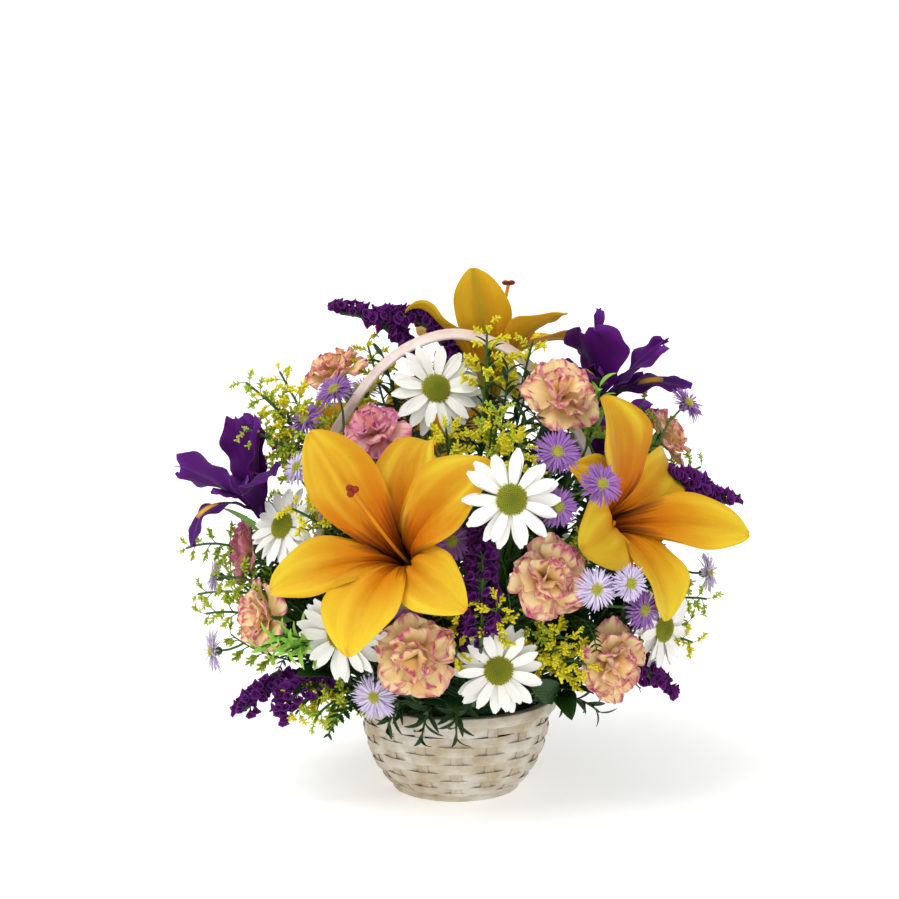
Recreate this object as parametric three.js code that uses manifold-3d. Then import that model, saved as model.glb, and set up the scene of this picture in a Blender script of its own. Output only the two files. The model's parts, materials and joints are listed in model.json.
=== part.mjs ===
// A round flower arrangement in a whitewashed woven basket with a bent wood handle.
// Millimetres, +Z up, the front is -Y, and the origin is the middle of the basket's flat foot.
// The foam block stands in a plastic liner in the basket, and every stem stands in a hole in the foam.
import * as THREE from "three";
import { mergeVertices } from "three/addons/utils/BufferGeometryUtils.js";
import Module from "manifold-3d";

const wasm = await Module();
wasm.setup();

// Driving dimensions.
const GAP = 0.35; // clearance between two pieces that touch
const FOOT_RADIUS = 36.5;
const RIM_RADIUS = 62;
const RIM_TOP = 58;
const FLOOR = 4; // thickness of the woven bottom
const STAKES = 16; // upright stakes in the basket wall
const WEAVE_ROWS = 7;
const WEAVE_RELIEF = 0.9; // how far a strip bulges over a stake
const ROUND_SEGMENTS = 12; // of the liner and the foam
const HANDLE_WIDTH = 11;
const HANDLE_THICK = 2.2;
const ROOT_HEIGHT = 52; // all stems point at this height on the basket's axis
const ROOT_DEPTH = 18; // how deep a stem stands in the foam
const LOWEST_ROOT = 13; // degrees above level, so that a stem clears the rim
const FOAM_REACH = 54; // from where the stems aim to the foam's surface, level
const FOAM_RISE = 43; // and straight up
const BEND_SHARE = 0.36; // how much of a stem's span each end runs straight before it bends
const STEM_SIDES = 3;
const STEM_RADIUS = {
  lily: 2.2, iris: 2.2, daisy: 1.6, carnation: 1.5, aster: 1.5, statice: 1.5, goldenrod: 1.3, fern: 1.3,
};
const PETAL_THICK = 0.8;
const WIDE_TEPAL = { length: 74, width: 40, to: 92, cup: 0.2 };
const NARROW_TEPAL = { length: 69, width: 30, to: 104, cup: 0.26 };
const LILY_DEPTH = 24; // from a lily's throat to its base
const IRIS_DEPTH = 9;
const SPATHE_LENGTH = 27; // of the green swelling under an iris
const CARNATION_DEPTH = 24; // from a carnation's face to the foot of its calyx
const DAISY_PETALS = 13;
const DISC_SHARE = 0.27; // of a daisy's radius
const ASTER_RAYS = 9;
const FLORET_STEP = 4.2; // along a statice stalk
const FLORET_RADIUS = 5;
const BRANCHLET_STEP = 9; // along a goldenrod stalk
const GOLDEN_ANGLE = 2.4; // radians from each branchlet to the next
const LEAFLET_PAIRS = 7;
const LEAFLET_REACH = 15;

const COLOURS = {
  wood: { color: 0xd9cdb8, roughness: 0.85, metalness: 0 },
  handleWood: { color: 0xe6dcd2, roughness: 0.8, metalness: 0 },
  plastic: { color: 0x2f4a33, roughness: 0.5, metalness: 0 },
  foam: { color: 0x3f6b3a, roughness: 1, metalness: 0 },
  stem: { color: 0x3d6b2a, roughness: 0.7, metalness: 0 },
  fern: { color: 0x23461f, roughness: 0.7, metalness: 0 },
  lily: { color: 0xf2a51c, roughness: 0.55, metalness: 0 },
  iris: { color: 0x46137c, roughness: 0.6, metalness: 0 },
  daisy: { color: 0xf7f6f0, roughness: 0.7, metalness: 0 },
  carnation: { color: 0xe8a98f, roughness: 0.75, metalness: 0 },
  aster: { color: 0x9a72c8, roughness: 0.7, metalness: 0 },
  statice: { color: 0x531a8e, roughness: 0.8, metalness: 0 },
  goldenrod: { color: 0xc9c82e, roughness: 0.8, metalness: 0 },
};

// Where each bloom's face sits and which way it looks. Turn is from the front towards the right, rise is
// above level. A root pair, where it is given, is the turn and rise of the stem in the foam.
// A lily's petals are wide and narrow in turn. Each is its turn about the bloom's axis and, where it
// differs from the rest, the angle that it bends to and its share of the usual length.
const LILIES = [
  {
    name: "front_left", at: [-34, -97, 166], turn: -25, rise: 31,
    petals: [[41], [86], [138], [211], [266], [329]],
  },
  {
    name: "right", at: [94, -68, 180], turn: 54, rise: 25,
    petals: [[98], [144, 150, 0.75], [198, 150], [264], [338], [20, 125]],
  },
  {
    name: "top", at: [22, 31, 258], turn: 180, rise: 78, size: 0.86,
    petals: [[75, 36], [135, 82], [190, 120], [250, 95], [312, 95], [8, 128]],
  },
  {
    name: "back", at: [-28, 100, 172], turn: 194, rise: 30,
    petals: [[28], [88], [150], [210], [268], [330]],
  },
];
const IRISES = [
  { name: "left", at: [-119, -24, 180], turn: -80, rise: 62, roll: 8 },
  { name: "top_right", at: [88, 12, 240], turn: 60, rise: 68, roll: 15 },
  { name: "back", at: [88, 84, 186], turn: 140, rise: 50, roll: 0 },
];
const DAISIES = [
  { name: "top", at: [-12, -26, 249], turn: 18, rise: 22, radius: 30 },
  { name: "centre", at: [30, -130, 203], turn: 6, rise: 12, radius: 30, root: [24, 48] },
  { name: "low_left", at: [-66, -88, 116], turn: -22, rise: 4, radius: 30 },
  { name: "low_front", at: [24, -96, 97], turn: 4, rise: 2, radius: 29 },
  { name: "left", at: [-101, -52, 172], turn: -42, rise: 28, radius: 27 },
  { name: "low_right", at: [121, -58, 112], turn: 48, rise: 2, radius: 28 },
  { name: "back_high", at: [22, 76, 236], turn: 168, rise: 42, radius: 29 },
  { name: "back_low", at: [52, 108, 126], turn: 156, rise: 8, radius: 29 },
];
const CARNATIONS = [
  { name: "top_right", at: [61, -48, 249], turn: 20, rise: 40, radius: 24 },
  { name: "top_left", at: [-74, 20, 254], turn: -70, rise: 62, radius: 20 },
  { name: "inner_left", at: [-48, -44, 228], turn: -22, rise: 52, radius: 20 },
  { name: "far_left", at: [-126, -14, 150], turn: -84, rise: 8, radius: 20 },
  { name: "low_left", at: [-115, -44, 115], turn: -58, rise: 4, radius: 23 },
  { name: "front", at: [-23, -101, 106], turn: -8, rise: 4, radius: 25 },
  { name: "centre_right", at: [51, -107, 153], turn: 16, rise: 14, radius: 25 },
  { name: "low_right", at: [90, -78, 97], turn: 34, rise: -2, radius: 24 },
  { name: "far_right", at: [128, 15, 214], turn: 82, rise: 34, radius: 20, root: [100, 46] },
  { name: "back", at: [-76, 84, 126], turn: 218, rise: 10, radius: 24 },
];
const ASTERS = [
  {
    name: "centre", fork: [43, -88, 188], root: [36, 54],
    heads: [
      { at: [56, -112, 226], turn: 8, rise: 30, radius: 15 },
      { at: [80, -122, 210], turn: 24, rise: 24, radius: 14 },
      { at: [56, -121, 197], turn: 10, rise: 14, radius: 13 },
    ],
  },
  {
    name: "right_low", fork: [70, -60, 124],
    heads: [
      { at: [78, -116, 149], turn: 20, rise: 10, radius: 14 },
      { at: [97, -114, 152], turn: 28, rise: 8, radius: 12 },
      { at: [106, -98, 133], turn: 34, rise: 6, radius: 14 },
    ],
  },
  {
    name: "front_low", fork: [-34, -62, 84],
    heads: [
      { at: [-47, -84, 78], turn: -24, rise: -2, radius: 16 },
      { at: [-42, -84, 136], turn: -14, rise: 22, radius: 14 },
    ],
  },
  {
    name: "top_left", fork: [-60, -18, 200],
    heads: [
      { at: [-72, -14, 246], turn: -40, rise: 52, radius: 14 },
      { at: [-89, -26, 230], turn: -56, rise: 44, radius: 14 },
      { at: [-92, -50, 206], turn: -52, rise: 34, radius: 12 },
    ],
  },
  {
    name: "left", fork: [-96, -14, 108],
    heads: [
      { at: [-146, -22, 89], turn: -74, rise: 2, radius: 14 },
      { at: [-146, 2, 130], turn: -88, rise: 14, radius: 12 },
    ],
  },
  {
    name: "right", fork: [104, -12, 146], root: [83, 40],
    heads: [
      { at: [137, -14, 238], turn: 70, rise: 40, radius: 13 },
      { at: [151, -16, 136], turn: 74, rise: 10, radius: 13 },
    ],
  },
  {
    name: "back", fork: [-20, 74, 214],
    heads: [
      { at: [-3, 93, 246], turn: 184, rise: 44, radius: 14 },
      { at: [-58, 78, 232], turn: 210, rise: 44, radius: 14 },
    ],
  },
];
// A spray's tip, the way it points there, and the length of it that flowers.
const STATICES = [
  { name: "top_left", tip: [-70, 36, 286], turn: -84, rise: 4, flowering: 66, root: [-150, 70] },
  { name: "centre", tip: [13, -98, 180], turn: -6, rise: 78, flowering: 70, root: [5, 15] },
  { name: "low_left", tip: [-124, -52, 62], turn: -62, rise: -42, flowering: 42 },
  { name: "low_right", tip: [122, -52, 74], turn: 62, rise: -44, flowering: 40 },
  { name: "right", tip: [160, -24, 180], turn: 88, rise: -26, flowering: 44, root: [72, 42] },
  { name: "back", tip: [-108, 66, 196], turn: 236, rise: 30, flowering: 50 },
];
const GOLDENRODS = [
  { name: "top_left", tip: [-124, -22, 252], turn: -84, rise: 38, flowering: 52, root: [-76, 58] },
  { name: "upper_left", tip: [-54, 32, 268], turn: -110, rise: 74, flowering: 36, root: [-128, 76] },
  { name: "top_centre", tip: [18, -30, 286], turn: 6, rise: 80, flowering: 34 },
  { name: "centre", tip: [20, -68, 240], turn: 0, rise: 56, flowering: 36 },
  { name: "left", tip: [-158, 12, 116], turn: -92, rise: -12, flowering: 48, root: [-98, 30] },
  { name: "low_left", tip: [-94, -64, 62], turn: -44, rise: -48, flowering: 34 },
  { name: "low_right", tip: [58, -92, 108], turn: 22, rise: 20, flowering: 34 },
];
const FERNS = [
  { name: "low_left", tip: [-74, -78, 54], turn: -44, rise: -66, blade: 44 },
  { name: "low_front", tip: [0, -86, 54], turn: 2, rise: -62, blade: 30 },
  { name: "back", tip: [6, 132, 78], turn: 182, rise: -40, blade: 74 },
  { name: "left", tip: [-122, 32, 92], turn: -104, rise: -34, blade: 62 },
];

const rad = THREE.MathUtils.degToRad;
const vector = (x, y, z) => new THREE.Vector3(x, y, z);

/** The unit vector that is turned from the front towards the right and raised above level, in degrees. */
function directionOf(turn, rise) {
  const level = Math.cos(rad(rise));
  return vector(Math.sin(rad(turn)) * level, -Math.cos(rad(turn)) * level, Math.sin(rad(rise)));
}

/** The pose of a bloom at a point, looking along turn and rise: as it is faced, local x is right and y up. */
function poseOf(at, { turn, rise, roll = 0 }) {
  const forward = directionOf(turn, rise);
  const right = vector(0, 0, 1).cross(forward).normalize();
  const up = forward.clone().cross(right);
  const basis = new THREE.Matrix4().makeBasis(right, up, forward);
  return basis.multiply(new THREE.Matrix4().makeRotationZ(rad(roll))).setPosition(...at);
}

/** A closed geometry as a solid, with its faces turned outwards. */
function solidOf(geometry) {
  const bare = new THREE.BufferGeometry().setAttribute("position", geometry.getAttribute("position"));
  bare.setIndex(geometry.index);
  const merged = mergeVertices(bare, 1e-3);
  const corners = new Uint32Array(merged.index.array);
  const make = () =>
    new wasm.Manifold(
      new wasm.Mesh({
        numProp: 3,
        vertProperties: new Float32Array(merged.attributes.position.array),
        triVerts: corners,
      }),
    );
  if (make().volume() > 0) return make();
  for (let i = 0; i < corners.length; i += 3) {
    [corners[i + 1], corners[i + 2]] = [corners[i + 2], corners[i + 1]];
  }
  return make();
}

/** A closed geometry from a list of points and a list of triangles. */
function geometryOf(points, triangles) {
  const positions = new Float32Array(points.flatMap((p) => [p.x, p.y, p.z]));
  return new THREE.BufferGeometry()
    .setAttribute("position", new THREE.BufferAttribute(positions, 3))
    .setIndex(triangles.flat());
}

/** The solids joined into one, with any scrap that doesn't hold to the largest body left off. */
function join(solids) {
  const joined = wasm.Manifold.union(solids);
  const bodies = joined.decompose();
  bodies.sort((a, b) => b.volume() - a.volume());
  return bodies[0];
}

const moved = (solid, matrix) => solid.transform(matrix.elements);

/** A named mesh of a solid, placed by a pose. */
function meshOf(name, solid, finish, pose = new THREE.Matrix4()) {
  const { vertProperties, triVerts } = solid.getMesh();
  const geometry = new THREE.BufferGeometry()
    .setAttribute("position", new THREE.BufferAttribute(vertProperties, 3))
    .setIndex(new THREE.BufferAttribute(triVerts, 1));
  geometry.computeVertexNormals();
  const mesh = new THREE.Mesh(geometry, new THREE.MeshStandardMaterial(COLOURS[finish]));
  mesh.name = name;
  mesh.applyMatrix4(pose);
  return mesh;
}

/** A closed tube through points, with a radius at each. */
function tube(points, radii) {
  const sides = STEM_SIDES;
  const rings = [];
  let side = Math.abs(points[1].z - points[0].z) > 0.8 * points[1].distanceTo(points[0])
    ? vector(1, 0, 0)
    : vector(0, 0, 1);
  points.forEach((point, i) => {
    const ahead = points[Math.min(i + 1, points.length - 1)];
    const behind = points[Math.max(i - 1, 0)];
    const along = ahead.clone().sub(behind).normalize();
    side = side.clone().addScaledVector(along, -side.dot(along)).normalize();
    const other = along.clone().cross(side);
    for (let k = 0; k < sides; k++) {
      const angle = (2 * Math.PI * k) / sides;
      rings.push(
        point.clone()
          .addScaledVector(side, radii[i] * Math.cos(angle))
          .addScaledVector(other, radii[i] * Math.sin(angle)),
      );
    }
  });
  const triangles = [];
  for (let i = 0; i + 1 < points.length; i++) {
    for (let k = 0; k < sides; k++) {
      const a = i * sides + k;
      const b = i * sides + ((k + 1) % sides);
      triangles.push([a, b, b + sides], [a, b + sides, a + sides]);
    }
  }
  const last = (points.length - 1) * sides;
  for (let k = 1; k + 1 < sides; k++) {
    triangles.push([0, k + 1, k], [last, last + k, last + k + 1]);
  }
  return solidOf(geometryOf(rings, triangles));
}

/**
 * A thin closed sheet from its upper points, the faces between them and the points of its rim in order.
 * Under, where it is given, is the height of the point below the first one, which makes a deep underside.
 */
function sheet(upper, faces, rim, { thick = PETAL_THICK, under } = {}) {
  const count = upper.length;
  const normals = upper.map(() => vector(0, 0, 0));
  for (const [a, b, c] of faces) {
    const normal = upper[b].clone().sub(upper[a]).cross(upper[c].clone().sub(upper[a]));
    for (const i of [a, b, c]) normals[i].add(normal);
  }
  const lower = upper.map((p, i) => p.clone().addScaledVector(normals[i].normalize(), -thick));
  if (under !== undefined) lower[0].setZ(under);
  const below = faces.map(([a, b, c]) => [a + count, c + count, b + count]);
  const wall = rim.flatMap((a, i) => {
    const b = rim[(i + 1) % rim.length];
    return [[b, a, a + count], [b, a + count, b + count]];
  });
  return solidOf(geometryOf([...upper, ...lower], [...faces, ...below, ...wall]));
}

/**
 * The points of a petal that follows a curved midrib in the local x-z plane, row by row, and its tip last.
 * The midrib's angle from +z goes from one value to another, and the edges rise above it by the cup.
 */
function petalRows({ length, width, from, to, ease = 1, rows = 4, start, base, fullest, cup, wave = 0 }) {
  const steps = 4; // short steps that each row of the midrib is worked out in
  const points = [];
  let [x, z] = start;
  for (let row = 0; row <= rows; row++) {
    const share = row / rows;
    const angle = rad(from + (to - from) * share ** ease);
    const swell = share < fullest
      ? base + (1 - base) * Math.sin((Math.PI / 2) * (share / fullest))
      : Math.sin((Math.PI / 2) * ((1 - share) / (1 - fullest))) ** 0.8;
    const half = (width / 2) * swell;
    const ripple = wave * (row % 2 ? 1 : -1);
    for (const edge of row === rows ? [0] : [-1, 0, 1]) {
      const lift = Math.abs(edge) * cup * half + edge * ripple;
      points.push(vector(x - Math.cos(angle) * lift, edge * half, z + Math.sin(angle) * lift));
    }
    for (let step = 0; step < steps; step++) {
      const inner = rad(from + (to - from) * ((row + (step + 0.5) / steps) / rows) ** ease);
      x += (Math.sin(inner) * length) / rows / steps;
      z += (Math.cos(inner) * length) / rows / steps;
    }
  }
  return points;
}

/** One thin leaf on its own, shaped as a petal is. */
function blade(shape) {
  const points = petalRows(shape);
  const tip = points.length - 1;
  const faces = [];
  const rim = [0, 1, 2];
  for (let a = 0; a + 6 <= tip; a += 3) {
    faces.push([a, a + 1, a + 4], [a, a + 4, a + 3], [a + 1, a + 2, a + 5], [a + 1, a + 5, a + 4]);
  }
  faces.push([tip - 3, tip - 2, tip], [tip - 2, tip - 1, tip]);
  for (let a = 5; a < tip; a += 3) rim.push(a);
  rim.push(tip);
  for (let a = tip - 3; a > 0; a -= 3) rim.push(a);
  return sheet(points, faces, rim);
}

/**
 * A corolla: petals that leave one throat, each with its own turn about z and its own bend. The throat is
 * a cone that closes at its depth, and the petals join between their feet.
 */
function corolla(petals, { throat, depth, under }) {
  const sorted = petals.map((petal) => ({ ...petal })).sort((a, b) => a.turn - b.turn);
  const upper = [vector(0, 0, -depth)];
  const starts = sorted.map((petal, k) => {
    const before = sorted[(k + sorted.length - 1) % sorted.length];
    const gap = (petal.turn - before.turn + 360) % 360;
    const valley = rad(petal.turn - gap / 2);
    const first = upper.length;
    upper.push(vector(throat * 0.85 * Math.cos(valley), throat * 0.85 * Math.sin(valley), 0.5));
    const turn = new THREE.Matrix4().makeRotationZ(rad(petal.turn));
    const rows = petalRows({ start: [throat, 0], base: 0.4, fullest: 0.5, ...petal });
    upper.push(...[rows[1], ...rows.slice(3)].map((p) => p.applyMatrix4(turn)));
    return first;
  });
  const faces = [];
  const rim = [];
  starts.forEach((a, k) => {
    const next = starts[(k + 1) % starts.length];
    const end = (k + 1 < starts.length ? next : upper.length) - 1;
    faces.push([0, a, a + 1], [0, a + 1, next]);
    faces.push([a, a + 2, a + 3], [a, a + 3, a + 1], [a + 1, a + 3, a + 4], [a + 1, a + 4, next]);
    for (let b = a + 2; b + 6 <= end; b += 3) {
      faces.push([b, b + 3, b + 4], [b, b + 4, b + 1], [b + 1, b + 4, b + 5], [b + 1, b + 5, b + 2]);
    }
    faces.push([end - 3, end, end - 2], [end - 2, end, end - 1]);
    rim.push(a);
    for (let b = a + 2; b < end; b += 3) rim.push(b);
    rim.push(end);
    for (let b = end - 1; b > a + 1; b -= 3) rim.push(b);
  });
  return sheet(upper, faces, rim, { under });
}

/**
 * A ring of petals joined round their middle. Each petal is widest at one place, given as a pair: how far
 * out, and half its width there. A spiky ring leaves that out. Lift raises the petals towards their tips,
 * and curl bends them with the square of the distance. The middle stands up to the dome's height.
 */
function ring({ petals, inner, reach, widest, lift = 0, curl = 0, ruffle = 0, turned = 0, height = 0,
  dome = 0, under, thick }) {
  const upper = [vector(0, 0, height + dome)];
  const rise = (out) => {
    const share = (out - inner) / (reach - inner);
    return height + lift * share + curl * share * share;
  };
  const size = widest ? 4 : 2; // points of each petal
  for (let k = 0; k < petals; k++) {
    const middle = (2 * Math.PI * (k + turned)) / petals;
    const valley = middle - Math.PI / petals;
    const along = vector(Math.cos(middle), Math.sin(middle), 0);
    const across = vector(-Math.sin(middle), Math.cos(middle), 0);
    const at = (out, side, waved) =>
      along.clone().multiplyScalar(out).addScaledVector(across, side).setZ(rise(out) + waved);
    upper.push(vector(inner * Math.cos(valley), inner * Math.sin(valley), height));
    if (widest) upper.push(at(widest[0], -widest[1], ruffle));
    upper.push(at(reach, 0, ruffle * (k % 2 ? 0.4 : -1)));
    if (widest) upper.push(at(widest[0], widest[1], -ruffle));
  }
  const faces = [];
  const rim = [];
  for (let k = 0; k < petals; k++) {
    const a = 1 + k * size;
    const next = 1 + ((k + 1) % petals) * size;
    faces.push([0, a, next]);
    if (widest) faces.push([a, a + 1, next], [a + 1, a + 3, next], [a + 1, a + 2, a + 3]);
    else faces.push([a, a + 1, next]);
    for (let i = 0; i < size; i++) rim.push(a + i);
  }
  return sheet(upper, faces, rim, { thick, under });
}

/** A closed solid turned about z, from pairs of radius and height. */
function turnedSolid(profile, segments) {
  const lathe = new THREE.LatheGeometry(profile.map(([r, z]) => new THREE.Vector2(r, z)), segments);
  return solidOf(lathe.rotateX(Math.PI / 2));
}

/** A flared floret: a pyramid with its point at the stalk and its wide mouth, a skewed square, outwards. */
function floret(root, along, length) {
  const sides = 4;
  const skew = 0.8;
  const side = vector(along.z, along.x, -along.y).cross(along).normalize();
  const other = along.clone().cross(side);
  const mouth = root.clone().addScaledVector(along, length);
  const points = [root];
  const triangles = [];
  for (let k = 0; k < sides; k++) {
    const angle = (2 * Math.PI * k) / sides;
    points.push(
      mouth.clone()
        .addScaledVector(side, FLORET_RADIUS * Math.cos(angle))
        .addScaledVector(other, FLORET_RADIUS * Math.sin(angle))
        .addScaledVector(along, k % 2 ? skew : -skew),
    );
    triangles.push([0, 1 + ((k + 1) % sides), 1 + k]);
    if (k > 0 && k + 1 < sides) triangles.push([1, 1 + k, 2 + k]);
  }
  return solidOf(geometryOf(points, triangles));
}

// Stems. Each one stands straight in the foam, leaves it, and then bends to the bloom it carries.
const roots = [];

/** How far the foam's surface is, with a little to spare, from the point where all stems aim. */
function foamReach(direction) {
  const level = Math.hypot(direction.x, direction.y) / FOAM_REACH;
  return 1 / Math.hypot(level, direction.z / FOAM_RISE);
}

/**
 * The points of a stem from inside the foam to the base of a bloom that looks along forward. Its hole in
 * the foam is wider than it by a gap all round, which takes more than that at a three-sided stem's faces.
 */
function stemPoints(base, forward, { radius, root, samples = 3 }) {
  const aim = vector(0, 0, ROOT_HEIGHT);
  const away = base.clone().sub(aim);
  const bearing = THREE.MathUtils.radToDeg(Math.atan2(away.x, -away.y));
  const slope = THREE.MathUtils.radToDeg(Math.atan2(away.z, Math.hypot(away.x, away.y)));
  const [turn, rise] = root ?? [bearing, Math.max(slope, LOWEST_ROOT)];
  const straight = directionOf(turn, rise);
  const surface = foamReach(straight);
  const inside = aim.clone().addScaledVector(straight, surface - ROOT_DEPTH);
  const outside = aim.clone().addScaledVector(straight, surface + 3);
  roots.push({ inside, outside, straight, radius: radius + 2 * GAP + 0.1 });
  const span = outside.distanceTo(base) * BEND_SHARE;
  const bend = new THREE.CubicBezierCurve3(
    outside,
    outside.clone().addScaledVector(straight, span),
    base.clone().addScaledVector(forward, -span),
    base,
  );
  return { points: [inside, ...bend.getPoints(samples)], bend, inside };
}

/** The path along the straight runs between points, so that what grows on it starts on it. */
function runOf(points) {
  const path = new THREE.CurvePath();
  points.slice(1).forEach((point, i) => path.add(new THREE.LineCurve3(points[i], point)));
  return path;
}

/** The radii along a stem, evenly from its root to its end. */
const taper = (count, root, end) =>
  Array.from({ length: count }, (_, i) => root + ((end - root) * i) / (count - 1));

// The basket and what is in it.
const wallProfile = new THREE.SplineCurve(
  [[FOOT_RADIUS, 0], [41.5, 5], [48.5, 14], [55, 29], [58, 44], [RIM_RADIUS - 3, 52]]
    .map(([r, z]) => new THREE.Vector2(r, z)),
);

/** The woven basket: strips that pass over and under the stakes, on a bowl with a flat foot and a rim. */
function basketMesh() {
  const rows = [];
  const rings = WEAVE_ROWS * 2;
  for (let i = 1; i <= rings; i++) {
    const point = wallProfile.getPoint(i / (rings + 1));
    rows.push([point.x + (i % 2 ? WEAVE_RELIEF : 0) * 0.6, point.y]);
  }
  const bottom = [[0, 0], [FOOT_RADIUS, 0]];
  const rim = [[RIM_RADIUS, 51.5], [RIM_RADIUS + 0.4, 55], [RIM_RADIUS - 0.6, RIM_TOP], [56, RIM_TOP]];
  const inside = [[54.4, 43], [51.3, 28], [44.5, 13], [36, FLOOR], [0, FLOOR]];
  const profile = [...bottom, ...rows, ...rim, ...inside];
  const segments = STAKES * 2;
  const lathe = new THREE.LatheGeometry(profile.map(([r, z]) => new THREE.Vector2(r, z)), segments);
  const position = lathe.getAttribute("position");
  for (let turn = 0; turn <= segments; turn++) {
    for (let ringIndex = 0; ringIndex < rings; ringIndex++) {
      const vertex = turn * profile.length + bottom.length + ringIndex;
      const over = Math.cos(Math.PI * (turn / 2 + Math.floor(ringIndex / 2)));
      const scale = 1 + (WEAVE_RELIEF * over * (ringIndex % 2 ? 0.3 : 1)) / rows[ringIndex][0];
      position.setX(vertex, position.getX(vertex) * scale);
      position.setZ(vertex, position.getZ(vertex) * scale);
    }
  }
  return meshOf("basket", solidOf(lathe.rotateX(Math.PI / 2)), "wood");
}

/** The bent wood handle: a flat strip whose ends are tucked inside the rim. */
function handleMesh() {
  const half = [
    [52, 36], [54, 57], [55.6, 63], [64.1, 80], [75.6, 110], [82.1, 145], [84.1, 178], [80.6, 202],
    [73.6, 219], [63.6, 235], [48.6, 255], [28.6, 270.5], [0, 278],
  ];
  const right = half.map(([x, z]) => vector(x - HANDLE_THICK / 2, 0, z));
  const left = right.slice(0, -1).reverse().map((p) => vector(-p.x, 0, p.z));
  const route = new THREE.CatmullRomCurve3([...right, ...left], false, "centripetal");
  const section = new THREE.Shape([
    new THREE.Vector2(-HANDLE_WIDTH / 2, -HANDLE_THICK / 2),
    new THREE.Vector2(HANDLE_WIDTH / 2, -HANDLE_THICK / 2),
    new THREE.Vector2(HANDLE_WIDTH / 2, HANDLE_THICK / 2),
    new THREE.Vector2(-HANDLE_WIDTH / 2, HANDLE_THICK / 2),
  ]);
  const strip = new THREE.ExtrudeGeometry(section, { steps: 20, bevelEnabled: false, extrudePath: route });
  return meshOf("handle", solidOf(strip), "handleWood");
}

/** The plastic bowl that keeps the foam's water off the basket. */
function linerMesh() {
  const bottom = FLOOR + GAP;
  const outer = [[0, bottom], [31, bottom], [42.5, 14], [48, 30], [51, 56.5]];
  const inner = [[49.8, 56.5], [46.8, 30], [41.2, 14.6], [30.4, bottom + 1.25], [0, bottom + 1.25]];
  return meshOf("liner", turnedSolid([...outer, ...inner], ROUND_SEGMENTS), "plastic");
}

/** The floral foam, with a hole for each stem. */
function foamMesh() {
  const profile = [[0, 6], [29.5, 6], [40, 14.8], [45.6, 30], [46.4, 72], [0, 86]];
  const block = turnedSolid(profile, ROUND_SEGMENTS);
  const holes = roots.map(({ inside, outside, straight, radius }) =>
    tube(
      [inside.clone().addScaledVector(straight, -GAP), outside.clone().addScaledVector(straight, 6)],
      [radius, radius],
    ),
  );
  return meshOf("foam", block.subtract(wasm.Manifold.union(holes)), "foam");
}

// The flowers.
/** The stem of a bloom, as a solid in the bloom's own frame, from its world points and its two radii. */
function stemSolid(points, pose, root, end = root) {
  return moved(tube(points, taper(points.length, root, end)), pose.clone().invert());
}

/** A lily: three wide and three narrow petals that flare from a throat, and a long style with its stigma. */
function lily({ name, at, petals, size = 1, root, ...look }) {
  const pose = poseOf(at, look);
  const forward = directionOf(look.turn, look.rise);
  const tepals = petals.map(([turn, bend, share = 1], i) => {
    const { length, width, to: usual, cup } = i % 2 ? NARROW_TEPAL : WIDE_TEPAL;
    const to = bend ?? usual;
    const from = Math.min(38, to);
    return { turn, length: size * share * length, width: size * width, from, to, ease: 0.8, cup };
  });
  const style = [vector(0, 0, 1 - LILY_DEPTH), vector(0, 1, 8), vector(-1, 5, 40), vector(-2, 6, 45)];
  const flared = corolla(tepals, { throat: 10, depth: LILY_DEPTH - 2, under: -LILY_DEPTH });
  const solid = join([flared, tube(style, [1.3, 1, 1.2, 3])]);

  const radius = STEM_RADIUS.lily;
  const end = vector(...at).addScaledVector(forward, -LILY_DEPTH - GAP);
  const { points } = stemPoints(end, forward, { radius, root });
  return [
    meshOf(`lily_${name}`, solid, "lily", pose),
    meshOf(`lily_${name}_stem`, stemSolid(points, pose, radius), "stem", pose),
  ];
}

/** An iris: three falls, three style arms over them and three upright standards, in a green spathe. */
function iris({ name, at, root, ...look }) {
  const pose = poseOf(at, look);
  const forward = directionOf(look.turn, look.rise);
  const petals = [];
  const arms = [];
  for (let turn = 0; turn < 360; turn += 120) {
    petals.push({
      turn, length: 53, width: 22, from: 34, to: 160, ease: 1.5, fullest: 0.75, cup: -0.1,
    });
    petals.push({
      turn: turn + 60, length: 54, width: 13, from: 10, to: 20, rows: 3, fullest: 0.66, cup: 0.2, wave: 0.5,
    });
    arms.push({
      turn, length: 40, width: 12, from: 22, to: 60, rows: 3, base: 0.35, fullest: 0.67, cup: -0.3,
    });
  }
  const outer = corolla(petals, { throat: 4.5, depth: 5, under: -IRIS_DEPTH });
  const inner = corolla(arms, { throat: 2.2, depth: 8 }).translate(0, 0, 2);

  const radius = STEM_RADIUS.iris;
  const end = vector(...at).addScaledVector(forward, -IRIS_DEPTH - GAP);
  const { points } = stemPoints(end, forward, { radius, root });
  const foot = -IRIS_DEPTH - SPATHE_LENGTH;
  const along = [foot, foot + 10, -IRIS_DEPTH - GAP].map((z) => vector(0, 0, z));
  const swelling = tube(along, [2, 4.4, 3.6]);
  const sheath = blade({
    start: [3.6, foot], length: 40, width: 13, from: 6, to: 22, rows: 3, base: 0.6, fullest: 0.34, cup: 0.4,
  });
  const leaf = moved(sheath, new THREE.Matrix4().makeRotationZ(rad(60)));
  return [
    meshOf(`iris_${name}`, join([outer, inner]), "iris", pose),
    meshOf(`iris_${name}_stem`, join([stemSolid(points, pose, radius), swelling, leaf]), "stem", pose),
  ];
}

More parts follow.
